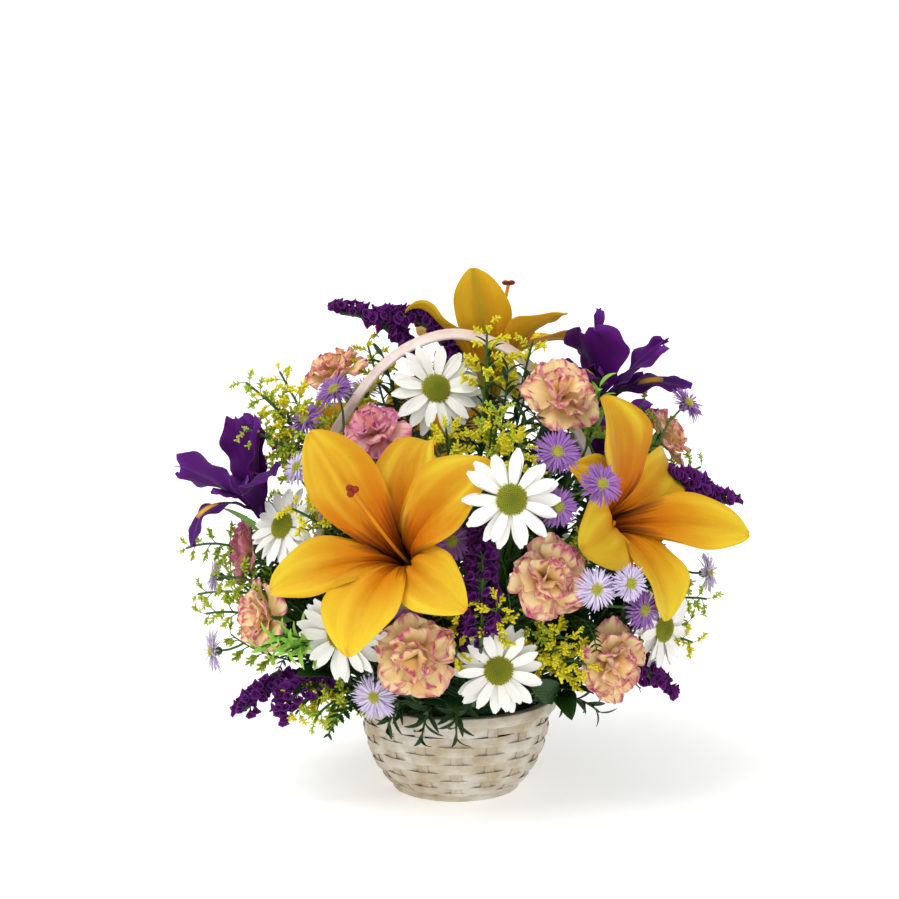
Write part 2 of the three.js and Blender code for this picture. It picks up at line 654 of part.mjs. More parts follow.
/** A daisy: a ring of petals round a domed disc, on its stem. */
function daisy({ name, at, radius, root, ...look }) {
  const pose = poseOf(at, look);
  const forward = directionOf(look.turn, look.rise);
  const base = vector(...at).addScaledVector(forward, -2);
  const { points } = stemPoints(base, forward, { radius: STEM_RADIUS.daisy, root });
  const petals = ring({
    petals: DAISY_PETALS, inner: radius * DISC_SHARE, reach: radius, widest: [radius * 0.74, radius * 0.15],
    lift: 3, curl: -4, dome: 3.6, under: -8, turned: 0.3,
  });
  const stem = stemSolid(points, pose, STEM_RADIUS.daisy);
  return [meshOf(`daisy_${name}`, join([petals, stem]), "daisy", pose)];
}

/** A carnation: three rings of ruffled petals, each steeper than the one outside it, on a long calyx. */
function carnation({ name, at, radius, root, ...look }) {
  const pose = poseOf(at, look);
  const forward = directionOf(look.turn, look.rise);
  const base = vector(...at).addScaledVector(forward, 8 - CARNATION_DEPTH);
  const { points } = stemPoints(base, forward, { radius: STEM_RADIUS.carnation, root });
  const layer = (petals, share, plump, rest) =>
    ring({ petals, reach: radius * share, widest: [radius * share * 0.9, radius * share * plump], ...rest });
  const solid = join([
    layer(5, 1, 0.42, { inner: 6, lift: 4, curl: -1, ruffle: 1.6, height: -6, under: -CARNATION_DEPTH }),
    layer(5, 0.78, 0.42, { inner: 5, lift: 6, ruffle: 1.5, height: -2.5, turned: 0.5, under: -8 }),
    layer(4, 0.5, 0.5, { inner: 3.5, lift: 7, ruffle: 1.3, height: -0.5, turned: 0.2, under: -5, thick: 1 }),
    stemSolid(points, pose, STEM_RADIUS.carnation),
  ]);
  return [meshOf(`carnation_${name}`, solid, "carnation", pose)];
}

/** A spray of asters: one stem that forks to heads of narrow rays round a domed disc. */
function asterSpray({ name, fork, heads, root }) {
  const origin = vector(...fork);
  const pose = new THREE.Matrix4().setPosition(origin);
  const back = pose.clone().invert();
  const mean = heads
    .reduce((sum, head) => sum.add(vector(...head.at)), vector(0, 0, 0))
    .divideScalar(heads.length);
  const onward = mean.sub(origin).normalize();
  const { points } = stemPoints(origin, onward, { radius: STEM_RADIUS.aster, root });
  const stem = [...points, origin.clone().addScaledVector(onward, 2)];
  const parts = [stemSolid(stem, pose, STEM_RADIUS.aster)];
  for (const { at, radius, ...look } of heads) {
    const rays = ring({ petals: ASTER_RAYS, inner: 4, reach: radius, lift: 2, dome: 2.4, under: -6 });
    parts.push(moved(rays, back.clone().multiply(poseOf(at, look))));
    const forward = directionOf(look.turn, look.rise);
    const neck = vector(...at).addScaledVector(forward, -2);
    const reach = neck.distanceTo(origin) * 0.4;
    const branch = new THREE.CubicBezierCurve3(
      origin,
      origin.clone().addScaledVector(onward, reach),
      neck.clone().addScaledVector(forward, -reach),
      neck,
    );
    parts.push(moved(tube(branch.getPoints(2), taper(3, 1.2, 1)), back));
  }
  return [meshOf(`aster_${name}`, join(parts), "aster", pose)];
}

/** A spray of statice: flared papery florets, three abreast, along the upper side of a stalk. */
function staticeSpray({ name, tip, turn, rise, flowering, root }) {
  const pose = new THREE.Matrix4().setPosition(...tip);
  const radius = STEM_RADIUS.statice;
  const { points } = stemPoints(vector(...tip), directionOf(turn, rise), { radius, root, samples: 5 });
  const parts = [tube(points, taper(points.length, radius, 1.2))];
  const run = runOf(points);
  const count = Math.round(flowering / FLORET_STEP);
  for (let i = 0; i < count; i++) {
    const share = 1 - ((i + 0.3) / count) * (flowering / run.getLength());
    const along = run.getTangentAt(share);
    const side = along.clone().cross(vector(0, 0, 1)).normalize();
    const over = side.clone().cross(along);
    const lean = (i % 3) - 1;
    const out = over.multiplyScalar(0.8).addScaledVector(side, lean).addScaledVector(along, 0.4).normalize();
    parts.push(floret(run.getPointAt(share), out, lean ? 9.5 : 11));
  }
  return [meshOf(`statice_${name}`, moved(join(parts), pose.clone().invert()), "statice", pose)];
}

/** A plume of goldenrod: branchlets round the stalk, each a string of small buds. */
function goldenrodSpray({ name, tip, turn, rise, flowering, root }) {
  const pose = new THREE.Matrix4().setPosition(...tip);
  const radius = STEM_RADIUS.goldenrod;
  const { points } = stemPoints(vector(...tip), directionOf(turn, rise), { radius, root });
  const parts = [tube(points, taper(points.length, radius, 1))];
  const run = runOf(points);
  const count = Math.round(flowering / BRANCHLET_STEP);
  const reaches = [0, 4, 7.5, 11, 14.5, 17.5]; // along a branchlet, with the radius at each below
  const radii = [0.7, 2.2, 1, 2.4, 1, 0.5];
  for (let i = 0; i < count; i++) {
    const share = 1 - (i / count) * (flowering / run.getLength());
    const fork = run.getPointAt(share);
    const along = run.getTangentAt(share);
    const side = along.clone().cross(vector(0.3, 0.1, 0.9)).normalize();
    const other = along.clone().cross(side);
    const angle = i * GOLDEN_ANGLE;
    const out = side.multiplyScalar(Math.cos(angle)).addScaledVector(other, Math.sin(angle));
    const way = out.multiplyScalar(i ? 0.9 : 0).addScaledVector(along, 0.6).normalize();
    const scale = 0.7 + 0.45 * (i / count);
    parts.push(tube(reaches.map((reach) => fork.clone().addScaledVector(way, reach * scale)), radii));
  }
  return [meshOf(`goldenrod_${name}`, moved(join(parts), pose.clone().invert()), "goldenrod", pose)];
}

/** A fern frond: pointed leaflets cut to the rib in one thin arched blade, on its stalk. */
function fern({ name, tip, turn, rise, blade: bladeLength }) {
  const pose = new THREE.Matrix4().setPosition(...tip);
  const radius = STEM_RADIUS.fern;
  const { bend, inside } = stemPoints(vector(...tip), directionOf(turn, rise), { radius });
  const start = 1 - bladeLength / bend.getLength(); // where along the bend the leaflets begin
  const upper = [];
  const faces = [];
  const leftRim = [];
  const rightRim = [];
  for (let i = 0; i <= LEAFLET_PAIRS; i++) {
    const share = i / LEAFLET_PAIRS;
    const middle = bend.getPointAt(start + (1 - start) * share);
    const along = bend.getTangentAt(start + (1 - start) * share);
    const side = along.clone().cross(vector(0, 0, 1)).normalize();
    const reach = LEAFLET_REACH * Math.sin(Math.PI * (0.25 + 0.7 * share));
    const at = (across, ahead) => middle.clone().addScaledVector(side, across).addScaledVector(along, ahead);
    const a = upper.length;
    upper.push(middle, at(-1.3, 0), at(1.3, 0));
    if (i < LEAFLET_PAIRS) {
      upper.push(at(-reach, 4.5), at(reach, 4.5));
      const b = a + 5;
      faces.push([a, a + 2, b + 2], [a, b + 2, b], [a + 1, a, b], [a + 1, b, b + 1]);
      faces.push([a + 2, a + 4, b + 2], [a + 1, b + 1, a + 3]);
      rightRim.push(a + 2, a + 4);
    } else {
      upper.push(at(0, 5));
      faces.push([a, a + 2, a + 3], [a, a + 3, a + 1]);
      rightRim.push(a + 2);
    }
    leftRim.push(a + 1, a + 3);
  }
  const frond = sheet(upper, faces, [0, ...rightRim, ...leftRim.reverse()]);
  const stalkPoints = [0, 0.34, 0.67, 1].map((share) => bend.getPointAt(share * (start + 0.03)));
  const stalk = tube([inside, ...stalkPoints], taper(5, radius, 1));
  return [meshOf(`fern_${name}`, moved(join([stalk, frond]), pose.clone().invert()), "fern", pose)];
}

const arrangement = new THREE.Group();
arrangement.add(basketMesh(), handleMesh(), linerMesh());
for (const [make, list] of [
  [lily, LILIES], [iris, IRISES], [daisy, DAISIES], [carnation, CARNATIONS], [asterSpray, ASTERS],
  [staticeSpray, STATICES], [goldenrodSpray, GOLDENRODS], [fern, FERNS],
]) {
  for (const spec of list) arrangement.add(...make(spec));
}
arrangement.add(foamMesh());

export default arrangement;
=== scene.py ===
"""A round flower arrangement in a whitewashed woven basket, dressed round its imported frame.

Lengths inside the sub-assemblies are millimetres, as a maker would give them. A finished piece is scaled
to metres when its parts are joined. +Z is up, the front is -Y, and the origin is the middle of the
basket's foot. Every flower keeps the place, the turn and the size of the solid that it stands for.
"""

import json
import logging
import math
from dataclasses import dataclass, replace
from enum import Enum
from functools import cache
from typing import Any, Callable, ClassVar, Iterable, Sequence

import bpy
import numpy as np
from bpy.types import Material, Mesh, NodeSocket, NodeTree, Object
from mathutils import Matrix, Vector

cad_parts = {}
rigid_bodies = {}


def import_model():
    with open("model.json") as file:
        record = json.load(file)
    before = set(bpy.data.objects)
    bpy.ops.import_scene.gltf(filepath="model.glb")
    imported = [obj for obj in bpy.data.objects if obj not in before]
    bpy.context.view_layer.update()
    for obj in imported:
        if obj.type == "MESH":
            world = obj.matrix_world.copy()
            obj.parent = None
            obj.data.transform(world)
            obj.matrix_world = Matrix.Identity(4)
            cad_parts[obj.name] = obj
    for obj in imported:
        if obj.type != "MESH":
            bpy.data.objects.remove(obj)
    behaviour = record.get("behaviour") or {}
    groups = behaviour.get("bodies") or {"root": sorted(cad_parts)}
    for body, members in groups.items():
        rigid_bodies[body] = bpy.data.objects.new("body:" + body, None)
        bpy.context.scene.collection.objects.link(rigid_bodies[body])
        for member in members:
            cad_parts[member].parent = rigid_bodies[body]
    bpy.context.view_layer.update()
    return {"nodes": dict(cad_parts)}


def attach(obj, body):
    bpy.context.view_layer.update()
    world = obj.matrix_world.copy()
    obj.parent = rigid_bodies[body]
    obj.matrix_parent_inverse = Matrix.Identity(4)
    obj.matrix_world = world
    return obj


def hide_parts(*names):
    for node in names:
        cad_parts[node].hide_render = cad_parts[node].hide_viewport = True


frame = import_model()

MM = 0.001
FULL_TURN = 2 * math.pi
GOLDEN_ANGLE = 2.39996
AIM = Vector((0, 0, 52))  # where all stems aim, on the basket's axis
ROOT_DEPTH = 18.0  # how deep a stem stands in the foam
LOWEST_ROOT = 13.0  # degrees above level, so that a stem clears the rim
LOWEST_FILLER = 12.0  # the same for what fills in
LOWEST_SPRIG = 14.0
FOAM_REACH = 54.0  # from where the stems aim to the foam's surface, level
FOAM_RISE = 43.0  # and straight up
BEND_SHARE = 0.36  # how much of a stem's span each end runs straight before it bends
ARCH_HEIGHT, ARCH_RADIUS = 194.0, 84.0  # the middle and the radius of the handle's arch
ARCH_GAP = 14.0  # greenery stays so far from the arch, on its left side,
ARCH_BEFORE, ARCH_BEHIND = -60.0, 8.0  # from so far before it to just behind it
FACE_DEPTH = -6.0  # and out of the way of a bloom's face from just behind it
MIDRIB_OVER, MIDRIB_STEPS = 1.12, 240  # a midrib is worked out to past its petal's tip, in so many steps
CURL_FROM, CURL_SPAN = 0.68, 0.32  # the share of a petal's length where it starts to curl back, and the rest
LENS_COLUMNS = 3  # a petal with so few columns of points is a lens
SHARP_EDGE = 55.0  # degrees; a sharper edge isn't shaded smooth
READ_NAMES = ("across", "along", "under", "tone")  # what the finishes read at each point
Pair = tuple[float, float]
Triple = tuple[float, float, float]
Path = Sequence[Vector | Triple]
Array = np.ndarray
Draw = np.random.Generator

log = logging.getLogger("arrangement")


class Slot(Enum):
    """The record's material slots. Each piece holds one, but nothing here puts it on the piece's object."""

    BASKET = "basket_wood"
    HANDLE = "handle_wood"
    STEM = "green_stem"
    LEAF = "fern_leaf"
    LILY = "lily_petal"
    IRIS = "iris_petal"
    DAISY = "daisy_petal"
    CARNATION = "carnation_petal"
    ASTER = "aster_petal"
    STATICE = "statice_floret"
    GOLDENROD = "goldenrod_bud"


# Node trees.


def spaced(name: str) -> str:
    """A keyword as the name of a socket, with spaces for its underscores."""
    return name.replace("_", " ")


class Graph:
    """A node tree in the making, with short calls for what the trees share."""

    def __init__(self, tree: NodeTree) -> None:
        """Starts on an empty or a new tree."""
        self.tree = tree

    @staticmethod
    def pick(sockets: Iterable[Any], name: str | None) -> Any:
        """The first live socket of that name, or the first live one of all."""
        return next(s for s in sockets if s.enabled and name in (None, s.name))

    def add(self, kind: str, inputs: dict[str, Any] | None = None, out: str | None = None, **own: Any) -> Any:
        """Adds a node.

        Args:
            kind: The node's type name.
            inputs: A value or an output socket for each input, by name.
            out: The output wanted; the first one if left out.
            own: The node's own properties.

        Returns:
            The output socket, or the node where it has none.
        """
        node = self.tree.nodes.new(kind)
        for key, value in own.items():
            setattr(node, key, value)
        for name, value in (inputs or {}).items():
            self.feed(self.pick(node.inputs, name), value)
        live = [s for s in node.outputs if s.enabled]
        return self.pick(live, out) if live else node

    def feed(self, socket: Any, value: Any) -> None:
        """Links an output to the socket, or sets the socket's own value.

        Args:
            socket: The input socket.
            value: The output or the value.
        """
        if isinstance(value, NodeSocket):
            self.tree.links.new(value, socket)
        else:
            socket.default_value = value

    def math(self, operation: str, *terms: Any) -> Any:
        """Works out one sum on numbers or outputs.

        Args:
            operation: The sum's name.
            terms: The numbers or outputs that go into it.

        Returns:
            The output socket.
        """
        node = self.tree.nodes.new("ShaderNodeMath")
        node.operation = operation
        for socket, term in zip(node.inputs, terms):
            self.feed(socket, term)
        return node.outputs[0]

    def plus(self, one: Any, other: Any) -> Any:
        """One number and the other."""
        return self.math("ADD", one, other)

    def minus(self, one: Any, other: Any) -> Any:
        """One number less the other."""
        return self.math("SUBTRACT", one, other)

    def times(self, one: Any, other: Any) -> Any:
        """One number times the other."""
        return self.math("MULTIPLY", one, other)

    def from_middle(self, share: Any) -> Any:
        """How far a share lies from one half."""
        return self.math("ABSOLUTE", self.minus(share, 0.5))

    def sockets(self, direction: str, **defaults: float | str) -> None:
        """Gives the tree named inputs or outputs.

        Args:
            direction: "INPUT" or "OUTPUT".
            defaults: Each one's default number, or its kind in words where it has none.
        """
        for name, default in defaults.items():
            bare = isinstance(default, str)
            kind = "NodeSocket" + (default if bare else type(default).__name__.capitalize())
            socket = self.tree.interface.new_socket(spaced(name), in_out=direction, socket_type=kind)
            if not bare:
                socket.default_value = default


class Grower(Graph):
    """A Geometry Nodes tree that makes what repeats or follows a path, and ends in plain geometry."""

    def __init__(self, name: str, **inputs: float | str) -> None:
        """Makes the tree with its named inputs and one geometry output.

        Args:
            name: The tree's name.
            inputs: Each input's default number, or its kind in words where it has none.
        """
        super().__init__(bpy.data.node_groups.new(name, "GeometryNodeTree"))
        self.sockets("INPUT", Carrier="Geometry", **inputs, Finish="Material")
        self.sockets("OUTPUT", Grown="Geometry")
        self.given = self.tree.nodes.new("NodeGroupInput")

    def get(self, name: str) -> Any:
        """The output of one of the tree's inputs."""
        return self.given.outputs[name]

    def random(self, low: Any, high: Any, salt: int) -> Any:
        """A seeded number between two values, of its own for each salt."""
        seed = self.plus(self.get("Seed"), salt)
        return self.add("FunctionNodeRandomValue", {"Min": low, "Max": high, "Seed": seed})

    def xyz(self, x: Any = 0.0, y: Any = 0.0, z: Any = 0.0) -> Any:
        """A vector from three numbers or outputs."""
        return self.add("ShaderNodeCombineXYZ", {"X": x, "Y": y, "Z": z})

    def unit(self) -> Any:
        """The shape that repeats, as one instance."""
        inputs = {"Object": self.get("Unit"), "As Instance": True}
        return self.add("GeometryNodeObjectInfo", inputs, "Geometry")

    def ring(self, radius: Any, angle: Any) -> tuple[Any, Any]:
        """The x and the y of a point on a ring."""
        return self.times(radius, self.math("COSINE", angle)), self.times(radius, self.math("SINE", angle))

    def place(self, points: Any, rotation: Any, size: Any, tone: Any) -> NodeTree:
        """Ends the tree in copies of the unit on points.

        Args:
            points: The points.
            rotation: Each copy's rotation.
            size: Each copy's size.
            tone: Each copy's tone, which the finish reads.

        Returns:
            The finished tree.
        """
        scale = self.xyz(size, size, size)
        inputs = {"Points": points, "Instance": self.unit(), "Rotation": rotation, "Scale": scale}
        copies = self.add("GeometryNodeInstanceOnPoints", inputs)
        return self.close(self.note(copies, "tone", tone, "INSTANCE"))

    def upright(self, curve: Any) -> Any:
        """A curve whose normal stays level."""
        return self.add("GeometryNodeSetCurveNormal", {"Curve": curve}, mode="Z_UP")

    def sweep(self, curve: Any, tilt: Any, run: Any, section: Any, **settings: Any) -> NodeTree:
        """Ends the tree in a strip along a curve.

        Args:
            curve: The upright curve.
            tilt: How far it is tilted, in radians.
            run: The node that gives the curve's length and share so far.
            section: The strip's section.
            settings: Further inputs of the sweep, with an underscore for a space.

        Returns:
            The finished tree.
        """
        tilted = self.add("GeometryNodeSetCurveTilt", {"Curve": curve, "Tilt": tilt})
        path = self.note(self.note(tilted, "run", run.outputs["Length"]), "along", run.outputs["Factor"])
        own = {spaced(name): value for name, value in settings.items()}
        swept = self.add("GeometryNodeCurveToMesh", {"Curve": path, "Profile Curve": section, **own})
        return self.close(self.note(swept, "tone", self.get("Tone")))

    def note(self, geometry: Any, name: str, value: Any, domain: str = "POINT") -> Any:
        """Stores a number under a name that the finishes read."""
        inputs = {"Geometry": geometry, "Name": name, "Value": value}
        return self.add("GeometryNodeStoreNamedAttribute", inputs, data_type="FLOAT", domain=domain)

    def circle(self, steps: Any) -> Any:
        """A circle of radius 1 with so many points."""
        inputs = {"Resolution": steps, "Radius": 1.0}
        return self.add("GeometryNodeCurvePrimitiveCircle", inputs, mode="RADIUS")

    def section(self, sides: Any, thickness: Any, width: Any, square: Any) -> Any:
        """A strip's section.

        Args:
            sides: How many points it has.
            thickness: Its size along the path's normal.
            width: Its size across that.
            square: 1 for an ellipse, less for a squarer outline.

        Returns:
            The closed curve, marked with its share of the way round.
        """
        circle = self.circle(sides)
        run = self.tree.nodes.new("GeometryNodeSplineParameter")
        around = self.times(run.outputs["Factor"], FULL_TURN)
        place = []
        for wave, size in (("COSINE", thickness), ("SINE", width)):
            value = self.math(wave, around)
            grown = self.math("POWER", self.math("ABSOLUTE", value), square)
            place.append(self.times(self.times(self.math("SIGN", value), grown), self.times(size, 0.5)))
        outline = self.add("GeometryNodeSetPosition", {"Geometry": circle, "Position": self.xyz(*place)})
        return self.note(outline, "across", run.outputs["Factor"])

    def close(self, geometry: Any) -> NodeTree:
        """Ends the tree in realised geometry with its finish.

        Args:
            geometry: What the tree has made.

        Returns:
            The finished tree.
        """
        real = self.add("GeometryNodeRealizeInstances", {"Geometry": geometry})
        inputs = {"Geometry": real, "Material": self.get("Finish")}
        dressed = self.add("GeometryNodeSetMaterial", inputs)
        end = self.tree.nodes.new("NodeGroupOutput")
        self.tree.links.new(dressed, end.inputs[0])
        return self.tree


@cache
def whorl_tree() -> NodeTree:
    """Petals round a centre, each with a turn, tilt and size of its own.

    Returns:
        The growing tree.
    """
    g = Grower("whorl", Unit="Object", Count=12, Radius=5.0, Height=0.0, Tilt=0.0, Spread=0.1, Phase=0.0,
               Seed=1)
    step = g.math("DIVIDE", FULL_TURN, g.get("Count"))
    place = g.times(g.add("GeometryNodeInputIndex"), step)
    sway = g.times(g.random(-0.35, 0.35, 1), step)
    angle = g.plus(g.plus(place, sway), g.get("Phase"))
    spot = g.xyz(*g.ring(g.get("Radius"), angle), g.get("Height"))
    points = g.add("GeometryNodePoints", {"Count": g.get("Count"), "Position": spot})
    spread = g.get("Spread")
    tilt = g.plus(g.get("Tilt"), g.times(g.random(-1.0, 1.0, 2), spread))
    twist = g.times(g.random(-1.5, 1.5, 3), spread)
    size = g.minus(1.0, g.times(g.random(0.0, 0.9, 4), spread))
    turned = g.add("FunctionNodeEulerToRotation", {"Euler": g.xyz(twist, tilt, angle)})
    return g.place(points, turned, size, g.random(0.0, 1.0, 5))


@cache
def disc_tree() -> NodeTree:
    """Florets on a dome, set out by the golden angle from its middle.

    Returns:
        The growing tree.
    """
    g = Grower("disc", Unit="Object", Count=200, Radius=8.0, Dome=3.0, Seed=1)
    index = g.add("GeometryNodeInputIndex")
    share = g.math("DIVIDE", g.plus(index, 0.5), g.get("Count"))
    out = g.math("SQRT", share)
    angle = g.times(index, GOLDEN_ANGLE)
    x, y = g.ring(g.times(out, g.get("Radius")), angle)
    z = g.times(g.get("Dome"), g.minus(1.0, share))
    points = g.add("GeometryNodePoints", {"Count": g.get("Count"), "Position": g.xyz(x, y, z)})
    facing = g.add("FunctionNodeAlignRotationToVector", {"Vector": g.xyz(x, y, g.get("Radius"))}, axis="Z")
    size = g.plus(g.random(0.75, 1.0, 1), g.times(out, 0.35))
    return g.place(points, facing, size, out)


@cache
def along_tree() -> NodeTree:
    """Copies along a path, turned round it step by step and leaning out from it, smaller towards its end.

    Returns:
        The growing tree.
    """
    g = Grower("along", Unit="Object", Count=20, Lean=0.9, Step=GOLDEN_ANGLE, Sway=0.3, Size=1.0,
               End_Size=0.6, Phase=0.0, Seed=1)
    curve = g.add("GeometryNodeMeshToCurve", {"Mesh": g.get("Carrier")})
    node = g.tree.nodes.new("GeometryNodeCurveToPoints")
    g.feed(node.inputs["Curve"], g.upright(curve))
    g.feed(node.inputs["Count"], g.get("Count"))
    index = g.add("GeometryNodeInputIndex")
    share = g.math("DIVIDE", index, g.minus(g.get("Count"), 0.99))
    sway = g.get("Sway")
    roll = g.plus(g.times(index, g.get("Step")), g.times(g.random(-1.0, 1.0, 1), sway))
    lean = g.plus(g.get("Lean"), g.times(g.random(-0.6, 0.6, 2), sway))
    turned = g.add("FunctionNodeEulerToRotation", {"Euler": g.xyz(0.0, 0.0, g.plus(roll, g.get("Phase")))})
    leaned = g.add("FunctionNodeEulerToRotation", {"Euler": g.xyz(0.0, lean, 0.0)})
    facing = node.outputs["Rotation"]
    for turn in (turned, leaned):
        inputs = {"Rotation": facing, "Rotate By": turn}
        facing = g.add("FunctionNodeRotateRotation", inputs, rotation_space="LOCAL")
    change = g.times(share, g.minus(g.get("End Size"), 1.0))
    size = g.times(g.get("Size"), g.times(g.plus(1.0, change), g.random(0.82, 1.1, 3)))
    return g.place(node.outputs["Points"], facing, size, g.random(0.0, 1.0, 4))


@cache
def strip_tree() -> NodeTree:
    """A flat or round strip swept along a path: an ellipse squared off as far as it is told.

    Returns:
        The growing tree.
    """
    g = Grower("strip", Width=5.0, Thickness=1.0, Sides=12, Square=1.0, Tilt=0.0, End_Size=1.0, Tone=0.5)
    curve = g.add("GeometryNodeMeshToCurve", {"Mesh": g.get("Carrier")})
    run = g.tree.nodes.new("GeometryNodeSplineParameter")
    aside = g.math("ABSOLUTE", g.minus(g.times(run.outputs["Factor"], 2.0), 1.0))
    eased = g.times(g.get("Tilt"), g.minus(1.0, g.math("POWER", aside, 6.0)))
    section = g.section(g.get("Sides"), g.get("Thickness"), g.get("Width"), g.get("Square"))
    change = g.times(run.outputs["Factor"], g.minus(g.get("End Size"), 1.0))
    return g.sweep(g.upright(curve), eased, run, section, Scale=g.plus(1.0, change), Fill_Caps=True)


@cache
def weaver_tree() -> NodeTree:
    """A strip that goes round the basket, out over one stake and in behind the next.

    Returns:
        The growing tree.
    """
    g = Grower("weaver", Radius=50.0, Height=20.0, Stakes=16, Relief=0.0, Width=6.0, Thickness=1.0, Slope=0.0,
               Phase=0.0, Wobble=0.3, Steps=96, Tone=0.5)
    run = g.tree.nodes.new("GeometryNodeSplineParameter")
    angle = g.times(run.outputs["Factor"], FULL_TURN)
    half = g.math("DIVIDE", g.get("Stakes"), 2.0)
    wave = g.math("COSINE", g.plus(g.times(angle, half), g.get("Phase")))
    flatter = g.minus(1.4, g.times(0.4, g.times(wave, wave)))
    bulge = g.times(g.times(wave, flatter), g.get("Relief"))
    spot = g.xyz(g.math("COSINE", angle), g.math("SINE", angle), g.get("Phase"))
    inputs = {"Vector": spot, "W": g.get("Tone"), "Scale": 2.3}
    noise = g.add("ShaderNodeTexNoise", inputs, noise_dimensions="4D")
    wobble = g.times(g.minus(noise, 0.5), g.get("Wobble"))
    out = g.plus(g.get("Radius"), g.plus(bulge, wobble))
    place = g.xyz(*g.ring(out, angle), g.plus(g.get("Height"), wobble))
    path = g.add("GeometryNodeSetPosition", {"Geometry": g.circle(g.get("Steps")), "Position": place})
    section = g.section(10, g.get("Thickness"), g.get("Width"), 0.5)
    return g.sweep(g.upright(path), g.get("Slope"), run, section, Fill_Caps=False)


def shown(name: str, data: Any) -> Object:
    """A new object in the scene.

    Args:
        name: Its name.
        data: Its mesh, camera or light.

    Returns:
        The object.
    """
    made = bpy.data.objects.new(name, data)
    bpy.context.scene.collection.objects.link(made)
    return made


def grow(tree: NodeTree, skin: str, path: Path = (), **values: Any) -> Mesh:
    """Grows a plain mesh.

    Args:
        tree: The growing tree.
        skin: The finish's name.
        path: The points of the carrier, in millimetres, where the tree follows one.
        values: The tree's inputs, with an underscore for a space.

    Returns:
        The mesh, in millimetres, with its finish.
    """
    mesh = bpy.data.meshes.new("carrier")
    mesh.from_pydata([tuple(point) for point in path], [(i, i + 1) for i in range(len(path) - 1)], [])
    carrier = shown("carrier", mesh)
    modifier = carrier.modifiers.new("grow", "NODES")
    modifier.node_group = tree
    wanted = {spaced(name): value for name, value in values.items()}
    wanted["Finish"] = finish(skin)
    for item in tree.interface.items_tree:
        if item.in_out == "INPUT" and item.name in wanted:
            modifier[item.identifier] = wanted[item.name]
    graph = bpy.context.evaluated_depsgraph_get()
    grown = bpy.data.meshes.new_from_object(carrier.evaluated_get(graph))
    carrier.modifiers.remove(modifier)
    bpy.data.objects.remove(carrier)
    bpy.data.meshes.remove(mesh)
    return grown


# Sheets and other bodies made point by point.


@dataclass
class Body:
    """Points in millimetres, four-sided faces, and what the finishes read at each point."""

    points: Array
    faces: Array
    across: Array
    along: Array
    under: Array
    tone: Array

    def placed(self, matrix: Matrix) -> "Body":
        """The same body, moved by a matrix."""
        m = np.array(matrix)
        return replace(self, points=self.points @ m[:3, :3].T + m[:3, 3])

    @staticmethod
    def merged(bodies: Sequence["Body"]) -> "Body":
        """Merges several bodies.

        Args:
            bodies: The bodies.

        Returns:
            The one that holds them all, in their order.
        """
        starts = np.cumsum([0] + [len(b.points) for b in bodies[:-1]])
        points = np.concatenate([b.points for b in bodies])
        faces = np.concatenate([b.faces + start for b, start in zip(bodies, starts)])
        read = (np.concatenate([getattr(b, name) for b in bodies]) for name in READ_NAMES)
        return Body(points, faces, *read)

    def mesh(self, skin: str, names: Sequence[str] = READ_NAMES) -> Mesh:
        """Makes the body into a mesh.

        Args:
            skin: The finish's name.
            names: The attributes that it carries.

        Returns:
            The mesh.
        """
        mesh = bpy.data.meshes.new("body")
        mesh.from_pydata(self.points.tolist(), [], self.faces.tolist())
        for name in names:
            layer = mesh.attributes.new(name, "FLOAT", "POINT")
            layer.data.foreach_set("value", getattr(self, name).astype(np.float32))
        mesh.materials.append(finish(skin))
        return mesh

    def unit(self, skin: str) -> Object:
        """The body as an object that a growing tree repeats and gives a tone. It isn't in the scene."""
        return bpy.data.objects.new("unit", self.mesh(skin, READ_NAMES[:3]))


def shell(grid: Array, thick: float, tone: float = 0.5) -> Body:
    """A thin closed body under a grid of points.

    Args:
        grid: Rows of points from the foot to the tip, each from one side to the other.
        thick: The thickness in the middle; the sides are thinner.
        tone: A number for the whole body, which the finish reads.

    Returns:
        The body. Its upper face is the one that the rows and the columns turn towards.
    """
    rows, columns = grid.shape[:2]
    count = rows * columns
    normal = np.cross(np.gradient(grid, axis=0), np.gradient(grid, axis=1))
    normal /= np.maximum(np.linalg.norm(normal, axis=2, keepdims=True), 1e-9)
    across = np.tile(np.linspace(0, 1, columns), (rows, 1))
    along = np.tile(np.linspace(0, 1, rows)[:, None], (1, columns))
    depth = thick * (1 - 0.6 * np.abs(2 * across - 1) ** 3) * (1 - 0.4 * along**4)
    lower = grid - normal * depth[..., None]
    index = np.arange(count).reshape(rows, columns)
    corners = [index[:-1, :-1], index[1:, :-1], index[1:, 1:], index[:-1, 1:]]
    upper_faces = np.stack(corners, -1).reshape(-1, 4)
    rim = np.concatenate([index[:, 0], index[-1, 1:], index[-2::-1, -1], index[0, -2:0:-1]])
    after = np.roll(rim, -1)
    wall = np.stack([after, rim, rim + count, after + count], -1)
    faces = np.concatenate([upper_faces, upper_faces[:, ::-1] + count, wall])
    flat = [np.tile(a.ravel(), 2) for a in (across, along)]
    under = np.repeat([0.0, 1.0], count)
    points = np.concatenate([grid.reshape(-1, 3), lower.reshape(-1, 3)])
    return Body(points, faces, *flat, under, np.full(2 * count, tone))


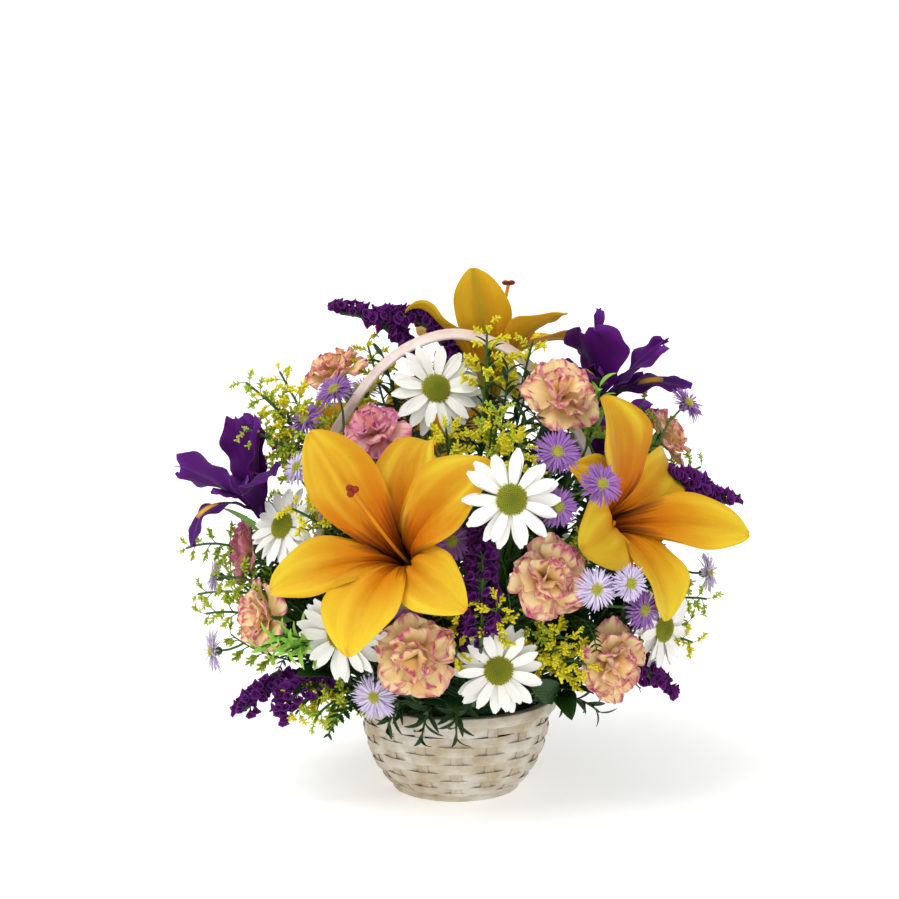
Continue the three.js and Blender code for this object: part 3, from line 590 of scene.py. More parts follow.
def lens(grid: Array, thick: float, tone: float = 0.5) -> Body:
    """A thin closed body with sharp sides.

    Args:
        grid: Rows of three points from the foot to the tip: left side, midrib, right side.
        thick: The thickness at the midrib.
        tone: A number for the whole body, which the finish reads.

    Returns:
        The body.
    """
    rows = len(grid)
    left, rib, right = grid[:, 0], grid[:, 1], grid[:, 2]
    normal = np.cross(np.gradient(rib, axis=0), right - left)
    normal /= np.maximum(np.linalg.norm(normal, axis=1, keepdims=True), 1e-9)
    points = np.concatenate([left, rib, right, rib - normal * thick])
    a, b, c, d = np.arange(4 * rows).reshape(4, rows)
    ring = [
        np.stack([one[:-1], one[1:], other[1:], other[:-1]], -1)
        for one, other in ((a, b), (b, c), (c, d), (d, a))
    ]
    ends = np.array([[a[0], b[0], c[0], d[0]], [d[-1], c[-1], b[-1], a[-1]]])
    along = np.tile(np.linspace(0, 1, rows), 4)
    across = np.repeat([0.0, 0.5, 1.0, 0.5], rows)
    under = np.repeat([0.0, 0.0, 0.0, 1.0], rows)
    return Body(points, np.concatenate(ring + [ends]), across, along, under, np.full(4 * rows, tone))


def ball(radii: Triple, centre: Triple = (0, 0, 0), rings: int = 4, sides: int = 6, tone: float = 0.5,
         cap: float = 0.06) -> Body:
    """A small rounded bead.

    Args:
        radii: Its three radii.
        centre: Its centre.
        rings: How many rings of faces it has from pole to pole.
        sides: How many faces it has round.
        tone: A number for the whole body, which the finish reads.
        cap: The half angle of the flat caps that close its poles, in radians.

    Returns:
        The body.
    """
    tilt = np.linspace(cap, math.pi - cap, rings + 1)[:, None]
    turn = np.linspace(0, FULL_TURN, sides, endpoint=False)[None, :]
    grid = np.stack([np.sin(tilt) * np.cos(turn), np.sin(tilt) * np.sin(turn), np.cos(tilt) + 0 * turn], -1)
    points = (grid * np.array(radii) + np.array(centre)).reshape(-1, 3)
    index = np.arange(len(points)).reshape(rings + 1, sides)
    beside = np.roll(index, -1, axis=1)
    faces = np.stack([index[:-1], index[1:], beside[1:], beside[:-1]], -1).reshape(-1, 4)
    half = sides // 2
    for ring, turned in ((index[0], False), (index[-1], True)):
        caps = [[ring[i], ring[i + 1], ring[sides - 2 - i], ring[sides - 1 - i]] for i in range(half - 1)]
        faces = np.concatenate([faces, np.array(caps)[:, ::-1] if turned else np.array(caps)])
    along = np.repeat(np.linspace(1, 0, rings + 1), sides)
    blank = np.zeros(len(points))
    return Body(points, faces, blank + 0.5, along, blank, blank + tone)


def ruffled_cup(radius: float, depth: float, ruffle: float, sides: int, rows: int, foot: float) -> Body:
    """A small flared cup with a wavy mouth.

    Args:
        radius: The mouth's radius.
        depth: The height from foot to mouth.
        ruffle: How far the mouth waves up and down.
        sides: How many faces it has round.
        rows: How many rows of points it has from foot to mouth.
        foot: The foot's height above the origin.

    Returns:
        The body, which opens along z.
    """
    turn = np.linspace(0, FULL_TURN, sides + 1)[None, :]
    share = np.linspace(0, 1, rows)[:, None]
    reach = radius * (0.25 + 0.75 * share**1.5) * (1 + 0.2 * share * np.sin(5 * turn))
    height = foot + depth * share + ruffle * share * (np.sin(5 * turn + 1) + np.sin(2 * turn))
    return shell(np.stack([reach * np.cos(turn), reach * np.sin(turn), height], -1), 0.4)


@dataclass
class Petal:
    """A petal or leaf whose midrib bends in the plane of its length.

    The angles are in degrees from straight up. Length is from the throat, and the claw is what lies below.
    """

    length: float
    width: float
    start: float = 80.0  # the midrib's angle at the throat
    end: float = 95.0  # and at the tip
    ease: float = 1.0  # less than 1 where it bends early
    base: float = 0.4  # the width at the throat, as a share of the full width
    fullest: float = 0.5  # how far along it is widest
    blunt: float = 0.06  # the tip's width, as a share of the full width
    cup: float = 0.15  # how far the sides rise, as a share of half the width
    claw: float = 0.0
    claw_angle: float = 20.0
    groove: float = 0.0  # how deep the midrib lies
    ripple: float = 0.0  # how far the margins wave, and how often
    waves: float = 2.0
    frill: float = 0.0  # how far the end waves from side to side, and how often
    frills: float = 3.0
    shoulder: float = 0.0  # the share of the length that the corners lose
    notch: float = 0.0  # and that the middle of the end loses
    teeth: float = 0.0  # and that each point of the end may gain or lose
    lobes: float = 0.0  # how many lobes each margin has, and their depth
    lobe_depth: float = 0.0
    recurve: float = 0.0  # how far the tip curls back
    sway: float = 0.0  # how far it bows to one side
    twist: float = 0.0
    rows: int = 14
    columns: int = 9
    thick: float = 0.5
    point: float = 0.8  # less than 1 where it stays wide towards the tip
    pleats: float = 0.0  # how high the lengthwise folds are

    def midrib(self, foot: Pair) -> tuple[Array, ...]:
        """Bends the midrib, step by step from the claw's foot to past the tip.

        Args:
            foot: Distance from the axis and height of the throat.

        Returns:
            The distance, the two coordinates and the angle at each step.
        """
        fine = np.linspace(-self.claw, self.length * MIDRIB_OVER, MIDRIB_STEPS)
        into_claw = np.clip(1 + fine / max(self.claw, 1), 0, 1) ** 3
        rise = self.claw_angle + (self.start - self.claw_angle) * into_claw
        fall = self.start + (self.end - self.start) * np.clip(fine / self.length, 0, 1) ** self.ease
        curl = self.recurve * np.clip((fine / self.length - CURL_FROM) / CURL_SPAN, 0, 1) ** 1.4
        bend = np.radians(np.where(fine < 0, rise, fall + curl))
        step = fine[1] - fine[0]
        x = np.cumsum(np.sin(bend)) * step
        z = np.cumsum(np.cos(bend)) * step
        return fine, x + foot[0] - np.interp(0, fine, x), z + foot[1] - np.interp(0, fine, z), bend

    def half_width(self, distance: Array) -> Array:
        """Shapes the outline.

        Args:
            distance: The distances.

        Returns:
            Half the width at each.
        """
        share = np.clip(distance / self.length, 0, 1)
        before = np.sin(math.pi / 2 * np.minimum(share / self.fullest, 1))
        after = np.sin(math.pi / 2 * np.clip((1 - share) / (1 - self.fullest), 0, 1)) ** self.point
        swell = np.where(share < self.fullest, self.base + (1 - self.base) * before,
                         self.blunt + (1 - self.blunt) * after)
        if self.claw:
            swell *= np.clip(0.45 + 0.55 * (distance + self.claw) / self.claw, 0, 1)
        cut = 0.5 - 0.5 * np.cos(FULL_TURN * self.lobes * share)
        return self.width / 2 * swell * (1 - self.lobe_depth * cut)

    def lift(self, side: Array, share: Array, half: Array, phases: Array) -> Array:
        """Shapes how far each point stands off the flat: cup, ripples, frill, groove, pleats and twist.

        Args:
            side: Each column from -1 to 1.
            share: Each row's share of the length.
            half: Half of each row's width.
            phases: Where the waves start.

        Returns:
            The height of each point.
        """
        beat = FULL_TURN * self.waves * share + np.where(side > 0, phases[0], phases[1])
        swell = np.sin(math.pi * np.clip(share * 1.05, 0, 1)) ** 0.5
        return (
            self.cup * half * np.abs(side) ** 1.6
            + self.ripple * side**2 * np.sin(beat) * swell
            + self.frill * share**1.6 * np.sin(self.frills * math.pi * side + phases[2])
            - self.groove * np.exp(-((side / 0.14) ** 2)) * np.clip(1.1 - share, 0, 1)
            + self.pleats * np.cos(3.6 * math.pi * side + phases[3]) * np.sin(math.pi * share) ** 0.7
            + self.twist * half * side * share
        )

    def grid(self, foot: Pair, rng: Draw) -> Array:
        """The points of the upper side.

        Args:
            foot: Distance from the axis and height of the throat.
            rng: The draw for the ripples' phases and the teeth.

        Returns:
            Rows of points from the foot of the claw to the tip.
        """
        fine, run_x, run_z, bend = self.midrib(foot)
        row = 1 - (1 - np.linspace(0, 1, self.rows)) ** 1.25
        distance = (row * (self.claw + self.length) - self.claw)[:, None]
        share = np.clip(distance / self.length, 0, 1)
        side = np.linspace(-1, 1, self.columns)[None, :]
        half = self.half_width(distance)
        trim = self.shoulder * np.abs(side) ** 2.4 + self.notch * np.exp(-((side / 0.2) ** 2))
        trim = trim + self.teeth * rng.uniform(-1, 1, (1, self.columns))
        reach = np.where(distance > 0, distance * (1 - trim * share), distance)
        x, z, angle = (np.interp(reach, fine, values) for values in (run_x, run_z, bend))
        off = self.lift(side, share, half, rng.uniform(0, FULL_TURN, 4))
        y = side * half + self.sway * np.sin(math.pi * share * 0.9)
        return np.stack([x - np.cos(angle) * off, y + 0 * x, z + np.sin(angle) * off], -1)

    def body(self, turn: float, foot: Pair, rng: Draw, tone: float = 0.5) -> Body:
        """The petal as a closed body, turned about the bloom's axis by so many degrees."""
        made = (lens if self.columns == LENS_COLUMNS else shell)(self.grid(foot, rng), self.thick, tone)
        return made.placed(Matrix.Rotation(math.radians(turn), 4, "Z"))


# Finishes.


def linear(code: str) -> tuple[float, ...]:
    """A colour given as six hex digits, as the shader wants it."""
    parts = (int(code[i:i + 2], 16) / 255 for i in (0, 2, 4))
    return *(p / 12.92 if p <= 0.04045 else ((p + 0.055) / 1.055) ** 2.4 for p in parts), 1.0


def effect(name: str, build: Callable[[Graph, Any], Any], **inputs: float | str) -> NodeTree:
    """A shader group with named inputs and one output.

    Args:
        name: The group's name.
        build: Makes the nodes between the inputs and the result, which it gives back.
        inputs: Each input's default number, or its kind in words where it has none.

    Returns:
        The group.
    """
    g = Graph(bpy.data.node_groups.new(name, "ShaderNodeTree"))
    g.sockets("INPUT", **inputs)
    g.sockets("OUTPUT", Value="Float")
    given = g.tree.nodes.new("NodeGroupInput")
    result = build(g, given.outputs)
    end = g.tree.nodes.new("NodeGroupOutput")
    g.tree.links.new(result, end.inputs[0])
    return g.tree


@cache
def mottle() -> NodeTree:
    """Soft uneven patches over a surface, from 0 to 1.

    Returns:
        The shader group.
    """
    def build(g: Graph, given: Any) -> Any:
        """Noise spread about one half.

        Args:
            g: The group.
            given: Its inputs.

        Returns:
            The result.
        """
        inputs = {"Vector": given["Vector"], "Scale": given["Scale"], "Detail": 3.0}
        noise = g.add("ShaderNodeTexNoise", inputs, "Fac")
        spread = g.times(g.minus(noise, 0.5), given["Contrast"])
        return g.add("ShaderNodeClamp", {"Value": g.plus(spread, 0.5)})
    return effect("mottle", build, Vector="Vector", Scale=100.0, Contrast=2.0)


@cache
def band() -> NodeTree:
    """A soft-edged band about one value of a coordinate, broken by noise.

    Returns:
        The shader group.
    """
    def build(g: Graph, given: Any) -> Any:
        """How near the shifted coordinate lies to the centre.

        Args:
            g: The group.
            given: Its inputs.

        Returns:
            The result.
        """
        shift = g.times(g.minus(given["Noise"], 0.5), given["Break"])
        place = g.plus(given["Coordinate"], shift)
        away = g.math("ABSOLUTE", g.minus(place, given["Centre"]))
        share = g.math("DIVIDE", away, given["Width"])
        return g.math("POWER", g.math("MAXIMUM", g.minus(1.0, share), 0.0), given["Softness"])
    return effect("band", build, Coordinate=0.0, Centre=0.5, Width=0.2, Softness=1.0, Noise=0.5, Break=0.0)


@cache
def ribs() -> NodeTree:
    """Uneven fine ridges that run the length of a petal, leaf or strip, from 0 to 1.

    Returns:
        The shader group.
    """
    def build(g: Graph, given: Any) -> Any:
        """Noise drawn out along the length.

        Args:
            g: The group.
            given: Its inputs.

        Returns:
            The result.
        """
        place = g.add("ShaderNodeCombineXYZ", {
            "X": g.times(given["Across"], given["Count"]),
            "Y": g.times(given["Along"], given["Wander"]),
            "Z": g.times(given["Seed"], 31.0),
        })
        noise = g.add("ShaderNodeTexNoise", {"Vector": place, "Scale": 1.0, "Detail": 2.0}, "Fac")
        spread = g.times(g.minus(noise, 0.5), 2.6)
        return g.add("ShaderNodeClamp", {"Value": g.plus(spread, 0.5)})
    return effect("ribs", build, Across=0.0, Along=0.0, Seed=0.5, Count=9.0, Wander=1.5)


class Shader(Graph):
    """A material in the making, with the coordinates that the finishes read."""

    def __init__(self, name: str) -> None:
        """Makes a material with a Principled BSDF.

        Args:
            name: The material's name.
        """
        self.material = bpy.data.materials.new(name)
        self.material.use_nodes = True
        super().__init__(self.material.node_tree)
        self.surface = self.tree.nodes["Principled BSDF"]
        self.place = self.add("ShaderNodeTexCoord", out="Object")

    def read(self, name: str) -> Any:
        """An attribute of the surface, as a number."""
        return self.add("ShaderNodeAttribute", out="Fac", attribute_name=name)

    def use(self, tree: NodeTree, **inputs: Any) -> Any:
        """Puts an effect into the material.

        Args:
            tree: The effect.
            inputs: A value or an output for each of its inputs.

        Returns:
            Its output.
        """
        node = self.tree.nodes.new("ShaderNodeGroup")
        node.node_tree = tree
        for name, value in inputs.items():
            self.feed(node.inputs[name], value)
        return node.outputs[0]

    def patches(self, scale: float, contrast: float) -> Any:
        """Soft patches over the surface."""
        return self.use(mottle(), Vector=self.place, Scale=scale, Contrast=contrast)

    def line(self, noise: Any, where: Any, at: float, width: float, soft: float, broken: float) -> Any:
        """A soft band over the surface.

        Args:
            noise: The noise that breaks it.
            where: The coordinate that it lies across.
            at: The coordinate of its middle.
            width: Half its width.
            soft: The power that its sides fall off by.
            broken: How far the noise shifts it.

        Returns:
            1 in its middle, 0 outside it.
        """
        return self.use(band(), Coordinate=where, Centre=at, Width=width, Softness=soft, Noise=noise,
                        Break=broken)

    def noise(self, scale: float, detail: float = 2.0) -> Any:
        """Noise over the surface, about 0.5."""
        return self.add("ShaderNodeTexNoise", {"Vector": self.place, "Scale": scale, "Detail": detail}, "Fac")

    def mix(self, factor: Any, low: Any, high: Any) -> Any:
        """Mixes two colours.

        Args:
            factor: The share of the second one.
            low: The first colour.
            high: The second one.

        Returns:
            The mixed colour.
        """
        node = self.tree.nodes.new("ShaderNodeMix")
        node.data_type = "RGBA"
        for name, value in (("Factor", factor), ("A", low), ("B", high)):
            self.feed(self.pick(node.inputs, name), value)
        return self.pick(node.outputs, None)

    def tint(self, colour: Any, code: str, factor: Any, strength: float = 1.0) -> Any:
        """A colour with another one over it, by a factor and a strength."""
        return self.mix(self.times(factor, strength), colour, linear(code))

    def close(self, colour: Any, relief: tuple[Any, float, float], **own: Any) -> Material:
        """Ends the material.

        Args:
            colour: The surface's colour.
            relief: The height that raises the surface, its strength and its distance in metres.
            own: The surface's other inputs, with an underscore for a space.

        Returns:
            The material.
        """
        bump = self.add("ShaderNodeBump", dict(zip(("Height", "Strength", "Distance"), relief)))
        for name, value in {"Base_Color": colour, "Normal": bump, **own}.items():
            self.feed(self.surface.inputs[spaced(name)], value)
        return self.material


@dataclass(frozen=True)
class PetalFinish:
    """How a petal is coloured over its length and width, and how much light goes into it."""

    name: str
    body: str
    other: str
    heart: str
    tip: str
    under: str
    edge: str = ""
    rib: str = ""
    under_rib: str = ""
    # the colour of painted shade deep in the throat and up the margins near it
    throat: str = ""
    heart_reach: float = 0.3
    tip_reach: float = 0.3
    tip_strength: float = 0.5
    tip_spread: float = 0.0
    edge_width: float = 0.0
    edge_strength: float = 0.0
    edge_break: float = 0.12
    rib_width: float = 0.12
    rib_strength: float = 0.0
    under_strength: float = 0.3
    streaks: float = 9.0
    streak_strength: float = 0.25
    streak_bump: float = 0.4
    # how strongly broad pale streaks of painted highlight run along the petal
    light_strength: float = 0.0
    blotch: str = ""
    roughness: float = 0.5
    glow: float = 0.25
    sheen: float = 0.1
    gloss: float = 0.2

    def lengthwise(self, s: Shader, colour: Any, fine: Any, streak: Any) -> Any:
        """Adds what changes from the throat to the tip, with painted shade deep in the throat.

        Args:
            s: The shader.
            colour: The colour so far.
            fine: Fine noise.
            streak: The streaks.

        Returns:
            The new colour.
        """
        along = s.read("along")
        tip = s.line(fine, along, at=1.0, width=self.tip_reach, soft=1.2, broken=0.15)
        share = s.plus(1.0 - self.tip_spread, s.times(s.read("tone"), self.tip_spread))
        colour = s.tint(colour, self.tip, s.times(tip, share), self.tip_strength)
        heart = s.line(streak, along, at=0.0, width=self.heart_reach, soft=1.2, broken=0.14)
        colour = s.tint(colour, self.heart, heart)
        # Painted shade: the throat is darkened, and the dark reaches farther up the margins, where the tepals
        # shade each other.
        if self.throat:
            side = s.math("POWER", s.from_middle(s.read("across")), 2.0)
            place = s.minus(along, s.times(side, 0.5))
            deep = s.line(streak, place, at=0.0, width=0.27, soft=0.6, broken=0.14)
            colour = s.tint(colour, self.throat, deep)
        return colour

    def crosswise(self, s: Shader, colour: Any, fine: Any, streak: Any) -> Any:
        """Adds the midrib, the margin and the blotch.

        Args:
            s: The shader.
            colour: The colour so far.
            fine: Fine noise.
            streak: The streaks.

        Returns:
            The new colour.
        """
        along, across = s.read("along"), s.read("across")
        if self.rib_strength:
            rib = s.line(fine, across, at=0.5, width=self.rib_width, soft=1.4, broken=0.03)
            fade = s.minus(1.0, s.math("POWER", along, 2.0))
            colour = s.tint(colour, self.rib, s.times(rib, fade), self.rib_strength)
        if self.edge_strength:
            side, end = (
                s.line(streak, where, at=1.0, width=self.edge_width, soft=0.8, broken=self.edge_break)
                for where in (s.times(s.from_middle(across), 2.0), along)
            )
            edge = s.math("MAXIMUM", s.times(side, s.math("POWER", along, 0.8)), end)
            colour = s.tint(colour, self.edge, edge, self.edge_strength)
        if self.blotch:
            spot, line = (
                s.line(fine, where, at=0.5, width=width, soft=0.35, broken=0.05)
                for where, width in ((along, 0.12), (across, 0.14))
            )
            colour = s.tint(colour, self.blotch, s.times(spot, line))
        return colour

    def material(self) -> Material:
        """Makes the finish.

        Returns:
            The material.
        """
        s = Shader(self.name)
        across, along, under, tone = (s.read(name) for name in READ_NAMES)
        fine = s.noise(420.0)
        colour = s.mix(tone, linear(self.body), linear(self.other))
        colour = s.tint(colour, self.tip, s.patches(90.0, 2.2), 0.18)
        streak = s.use(ribs(), Across=across, Along=along, Seed=tone, Count=self.streaks)
        colour = s.tint(colour, self.heart, streak, self.streak_strength)
        # Painted highlights: broad pale streaks along the length, in the tip colour.
        if self.light_strength:
            broad = s.use(ribs(), Across=across, Along=along, Seed=s.times(tone, 9.0), Count=4.0)
            colour = s.tint(colour, self.tip, s.math("POWER", broad, 2.0), self.light_strength)
        colour = self.lengthwise(s, colour, fine, streak)
        colour = self.crosswise(s, colour, fine, streak)
        back = linear(self.under)
        if self.under_rib:
            rib = s.line(fine, across, at=0.5, width=0.16, soft=0.9, broken=0.04)
            back = s.tint(back, self.under_rib, rib, 0.8)
        colour = s.mix(s.times(under, self.under_strength), colour, back)
        fading = s.times(streak, s.minus(1.0, s.math("POWER", along, 3.0)))
        relief = s.plus(fading, s.times(fine, 0.5)), self.streak_bump, 0.0004
        rough = s.plus(self.roughness - 0.08, s.times(fine, 0.16))
        return s.close(
            colour, relief, Roughness=rough, Subsurface_Weight=self.glow, Subsurface_Radius=(1.0, 0.6, 0.25),
            Subsurface_Scale=0.003, Sheen_Weight=self.sheen, Sheen_Roughness=0.4,
            Specular_IOR_Level=self.gloss,
        )


@dataclass(frozen=True)
class GreenFinish:
    """A stem, leaf, bud or disc: two colours by tone, a third in patches and at its tip."""

    name: str
    body: str
    other: str
    patch: str
    tip: str = ""
    tip_strength: float = 0.6
    roughness: float = 0.55
    glow: float = 0.1
    grain: float = 0.3
    veins: float = 0.0

    def material(self) -> Material:
        """Makes the finish.

        Returns:
            The material.
        """
        s = Shader(self.name)
        tone, along, across = s.read("tone"), s.read("along"), s.read("across")
        fine = s.noise(700.0, 3.0)
        colour = s.mix(tone, linear(self.body), linear(self.other))
        colour = s.tint(colour, self.patch, s.patches(60.0, 2.6), 0.45)
        height = fine
        if self.tip:
            tip = s.line(fine, along, at=1.0, width=0.7, soft=0.9, broken=0.2)
            colour = s.tint(colour, self.tip, tip, self.tip_strength)
        if self.veins:
            rib = s.line(fine, across, at=0.5, width=0.09, soft=0.8, broken=0.02)
            colour = s.tint(colour, self.patch, rib, 0.4)
            slant = s.plus(s.times(along, 8.0), s.times(s.from_middle(across), -7.0))
            height = s.plus(s.times(s.math("SINE", s.times(slant, 6.28)), self.veins), fine)
        rough = s.plus(self.roughness - 0.1, s.times(fine, 0.2))
        return s.close(
            colour, (height, self.grain, 0.0003), Roughness=rough, Subsurface_Weight=self.glow,
            Subsurface_Radius=(0.4, 1.0, 0.2), Subsurface_Scale=0.001, Specular_IOR_Level=0.3,
        )


@dataclass(frozen=True)
class WashedWood:
    """Chip wood with a thin white wash that the grain shows through."""

    name: str
    wood: str
    wash: str
    stain: str
    cover: float = 0.6
    fibres: float = 5.0

    def material(self) -> Material:
        """Makes the finish.

        Returns:
            The material.
        """
        s = Shader(self.name)
        across, tone, run = s.read("across"), s.read("tone"), s.read("run")
        place = s.add("ShaderNodeCombineXYZ", {
            "X": s.times(run, 0.05), "Y": s.times(across, 3.2), "Z": s.times(tone, 37.0),
        })
        inputs = {"Vector": place, "Scale": self.fibres, "Detail": 6.0, "Roughness": 0.65}
        grain = s.add("ShaderNodeTexNoise", inputs, "Fac")
        fibre = s.use(ribs(), Across=across, Along=run, Seed=tone, Count=16.0, Wander=0.12)
        colour = s.mix(tone, linear(self.wood), linear(self.stain))
        colour = s.tint(colour, self.wood, grain, 0.8)
        worn = s.plus(s.times(s.patches(70.0, 3.0), 0.8), s.times(grain, 0.9))
        thin = s.plus(s.minus(worn, 0.85), self.cover)
        colour = s.tint(colour, self.wash, s.add("ShaderNodeClamp", {"Value": thin}))
        relief = s.plus(s.times(fibre, 0.4), grain), 0.5, 0.0004
        rough = s.plus(0.55, s.times(grain, 0.3))
        return s.close(colour, relief, Roughness=rough, Specular_IOR_Level=0.3)


@dataclass(frozen=True)
class CellFinish:
    """Foam or moulded plastic: one hue with cells or a fine orange-peel skin."""

    name: str
    body: str
    pit: str
    cells: float
    depth: float
    roughness: float
    lit: float = 0.0

    def material(self) -> Material:
        """Makes the finish.

        Returns:
            The material.
        """
        s = Shader(self.name)
        cells = s.add("ShaderNodeTexVoronoi", {"Vector": s.place, "Scale": self.cells}, "Distance")
        colour = s.mix(cells, linear(self.pit), linear(self.body))
        colour = s.tint(colour, self.pit, s.patches(50.0, 2.0), 0.4)
        rough = s.plus(self.roughness, s.times(cells, 0.1))
        return s.close(colour, (cells, self.depth, 0.0005), Roughness=rough, Emission_Strength=self.lit)


FINISHES: dict[str, PetalFinish | GreenFinish | WashedWood | CellFinish] = {made.name: made for made in (
    PetalFinish(
        "lily", body="b47000", other="c89a06", heart="c44600", tip="dec034", under="cca624",
        # painted shade: a near-black throat colour, darkest deep in the throat and up the margins
        edge="c47002", rib="b05a00", under_rib="84902c", throat="0c0100", heart_reach=0.63,
        tip_reach=0.76, tip_strength=0.95, tip_spread=0.5, rib_width=0.3, rib_strength=0.4,
        # painted highlights: broad pale streaks along the tepals
        edge_width=0.07, edge_strength=0.5, light_strength=0.85, streaks=11, streak_strength=0.4,
        streak_bump=0.9, glow=0.4, under_strength=0.6, sheen=0.0, gloss=0.07,
    ),
    PetalFinish(
        "iris_fall", body="380650", other="440a5c", heart="2a1030", tip="521470", under="440e5c",
        edge="62228a", streaks=13, streak_strength=0.15, blotch="f2b80a", roughness=0.65, edge_width=0.12,
        edge_strength=0.4, glow=0.05, sheen=0.05, gloss=0.1,
    ),
    PetalFinish(
        "iris_standard", body="42085a", other="520e6c", heart="2e0a40", tip="5e1a7e", under="480c64",
        edge="70309a", rib="300848", streaks=13, streak_strength=0.3, roughness=0.6, rib_strength=0.5,
        edge_width=0.15, edge_strength=0.4, glow=0.06, sheen=0.05, gloss=0.1,
    ),
    PetalFinish(
        "daisy", body="f6f4ec", other="efede6", heart="dde0a8", tip="f8f7f3", under="dedfcc",
        rib="dfe2d6", heart_reach=0.18, streaks=4, streak_strength=0.04, streak_bump=0.35, glow=0.15,
        rib_width=0.1, rib_strength=0.12, gloss=0.3,
    ),
    PetalFinish(
        "carnation", body="fce4a2", other="f8d694", heart="de9c58", tip="f6bea4", under="f0c094",
        edge="b41e74", heart_reach=0.36, tip_reach=0.5, edge_width=0.2, edge_strength=0.95,
        edge_break=0.36, streaks=7, streak_strength=0.26, roughness=0.6, glow=0.3, under_strength=0.35,
        sheen=0.05,
    ),
    PetalFinish(
        "carnation_rose", body="f6c4a4", other="e89cac", heart="eeb074", tip="e28ab0", under="e8a4a4",
        edge="a82278", heart_reach=0.4, tip_reach=0.55, tip_strength=0.6, edge_width=0.26,
        edge_strength=0.9, edge_break=0.36, streaks=7, streak_strength=0.2, roughness=0.6, glow=0.36,
        under_strength=0.35, sheen=0.05,
    ),
    PetalFinish(
        "aster_purple", body="84489c", other="9a66b0", heart="b090c8", tip="8e5cb2", under="8a64a8",
        rib="a684c8", streaks=2, streak_strength=0.2, roughness=0.55, glow=0.12, rib_width=0.3,
        rib_strength=0.35,
    ),
    PetalFinish(
        "aster_lavender", body="cbbae0", other="e0d6ee", heart="ece6f0", tip="c2acdc", under="ccbcde",
        rib="e2d8f0", heart_reach=0.4, streaks=2, streak_strength=0.15, roughness=0.55, glow=0.12,
        rib_width=0.3, rib_strength=0.3,
    ),
    PetalFinish(
        "statice", body="40084e", other="58146a", heart="240828", tip="6a2080", under="440e50",
        edge="86409a", tip_reach=0.5, streaks=5, streak_strength=0.1, roughness=0.75, edge_width=0.2,
        edge_strength=0.35, glow=0.06, sheen=0.05, gloss=0.08,
    ),
    GreenFinish("statice_calyx", body="3a5526", other="4c6a2e", patch="2a401e"),
    GreenFinish("style", body="dc8e14", other="e09a20", patch="c8700c", roughness=0.4, glow=0.2),
    GreenFinish("stigma", body="7c2002", other="902c04", patch="5c1600", roughness=0.6),
    # Painted shade: the near-black bead deep in a lily's throat stands for the shadow there.
    GreenFinish("throat", body="1c0a02", other="241004", patch="120400", roughness=0.7),
    GreenFinish("disc", body="5a7e1a", other="a49c24", patch="6e8e22", tip="b8a62e", tip_strength=0.3,
                roughness=0.75, grain=0.6),
    GreenFinish("eye", body="98a836", other="d6c83a", patch="8ea034", tip="e4d854", tip_strength=0.4,
                roughness=0.7),
    GreenFinish("bud", body="ccc016", other="e6d81c", patch="a0a424", tip="f2e634", roughness=0.6,
                glow=0.3),
    GreenFinish("green_bud", body="88a62a", other="b8c636", patch="648a26", tip="dad83e",
                tip_strength=0.5, glow=0.3),
    GreenFinish("stem", body="3a6224", other="4c762a", patch="2c4c1c", roughness=0.45),
    GreenFinish("spathe", body="4c8228", other="6a9c34", patch="86a84a", tip="9ca266", tip_strength=0.3,
                veins=0.2),
    GreenFinish("leaf", body="183516", other="284c1c", patch="10280e", roughness=0.42, veins=0.8,
                grain=0.5),
    GreenFinish("bright_leaf", body="2e5a1c", other="487826", patch="244a18", roughness=0.45, veins=0.6,
                grain=0.5),
    GreenFinish("tuft", body="6fa82c", other="94c23c", patch="4f8c24", tip="bcd860", tip_strength=0.5),
    WashedWood("washed_chip", wood="a98f65", wash="d9d4c8", stain="bbad8d", cover=0.62),
    WashedWood("washed_stake", wood="ab9570", wash="d0c9ba", stain="a49a7b", cover=0.5),
    WashedWood("washed_handle", wood="c8a498", wash="eadcd4", stain="dab8ac", cover=0.62, fibres=7.0),
    CellFinish("foam", body="4f7f46", pit="1f3c1c", cells=900.0, depth=0.8, roughness=0.85),
    CellFinish("liner", body="1d3a24", pit="142a1a", cells=2400.0, depth=0.1, roughness=0.4),
    CellFinish("studio_floor", body="f3f3f3", pit="f0f0f0", cells=60.0, depth=0.02, roughness=0.6,
               lit=0.4),
)}


@cache
def finish(name: str) -> Material:
    """The material of that name, made the first time that it is asked for."""
    return FINISHES[name].material()


# Pieces, places and stems.


def number_of(text: str, step: int) -> int:
    """A whole number that follows from a name."""
    return sum(ord(letter) * (i + step) for i, letter in enumerate(text))


class Piece:
    """A piece in the making: meshes in millimetres that become one plain mesh in metres."""

    def __init__(self, name: str, slot: Slot, *nodes: str) -> None:
        """Starts a piece that stands for these CAD nodes."""
        self.name, self.slot, self.nodes = name, slot, nodes
        self.objects: list[Object] = []

    def add(self, mesh: Mesh, place: Matrix | None = None) -> "Piece":
        """Adds a mesh.

        Args:
            mesh: The mesh, in millimetres.
            place: Where it goes; it stays where it is if left out.

        Returns:
            The piece, for the next call.
        """
        mesh.transform(Matrix.Scale(MM, 4) @ (place or Matrix.Identity(4)))
        self.objects.append(shown("part", mesh))
        return self

    def finish(self) -> Object:
        """Joins the parts, shades them and ties the piece to the frame.

        Returns:
            The piece's object.
        """
        whole = self.objects[0]
        if len(self.objects) > 1:
            with bpy.context.temp_override(active_object=whole, selected_editable_objects=self.objects):
                bpy.ops.object.join()
        whole.name = whole.data.name = self.name
        whole.data.shade_smooth()
        whole.data.set_sharp_from_angle(angle=math.radians(SHARP_EDGE))
        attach(whole, "root")
        if self.nodes:
            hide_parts(*self.nodes)
        log.info("%s: %d faces", self.name, len(whole.data.polygons))
        return whole


def direction(turn: float, rise: float) -> Vector:
    """The unit vector turned from the front towards the right and raised above level, in degrees."""
    t, r = math.radians(turn), math.radians(rise)
    return Vector((math.sin(t) * math.cos(r), -math.cos(t) * math.cos(r), math.sin(r)))


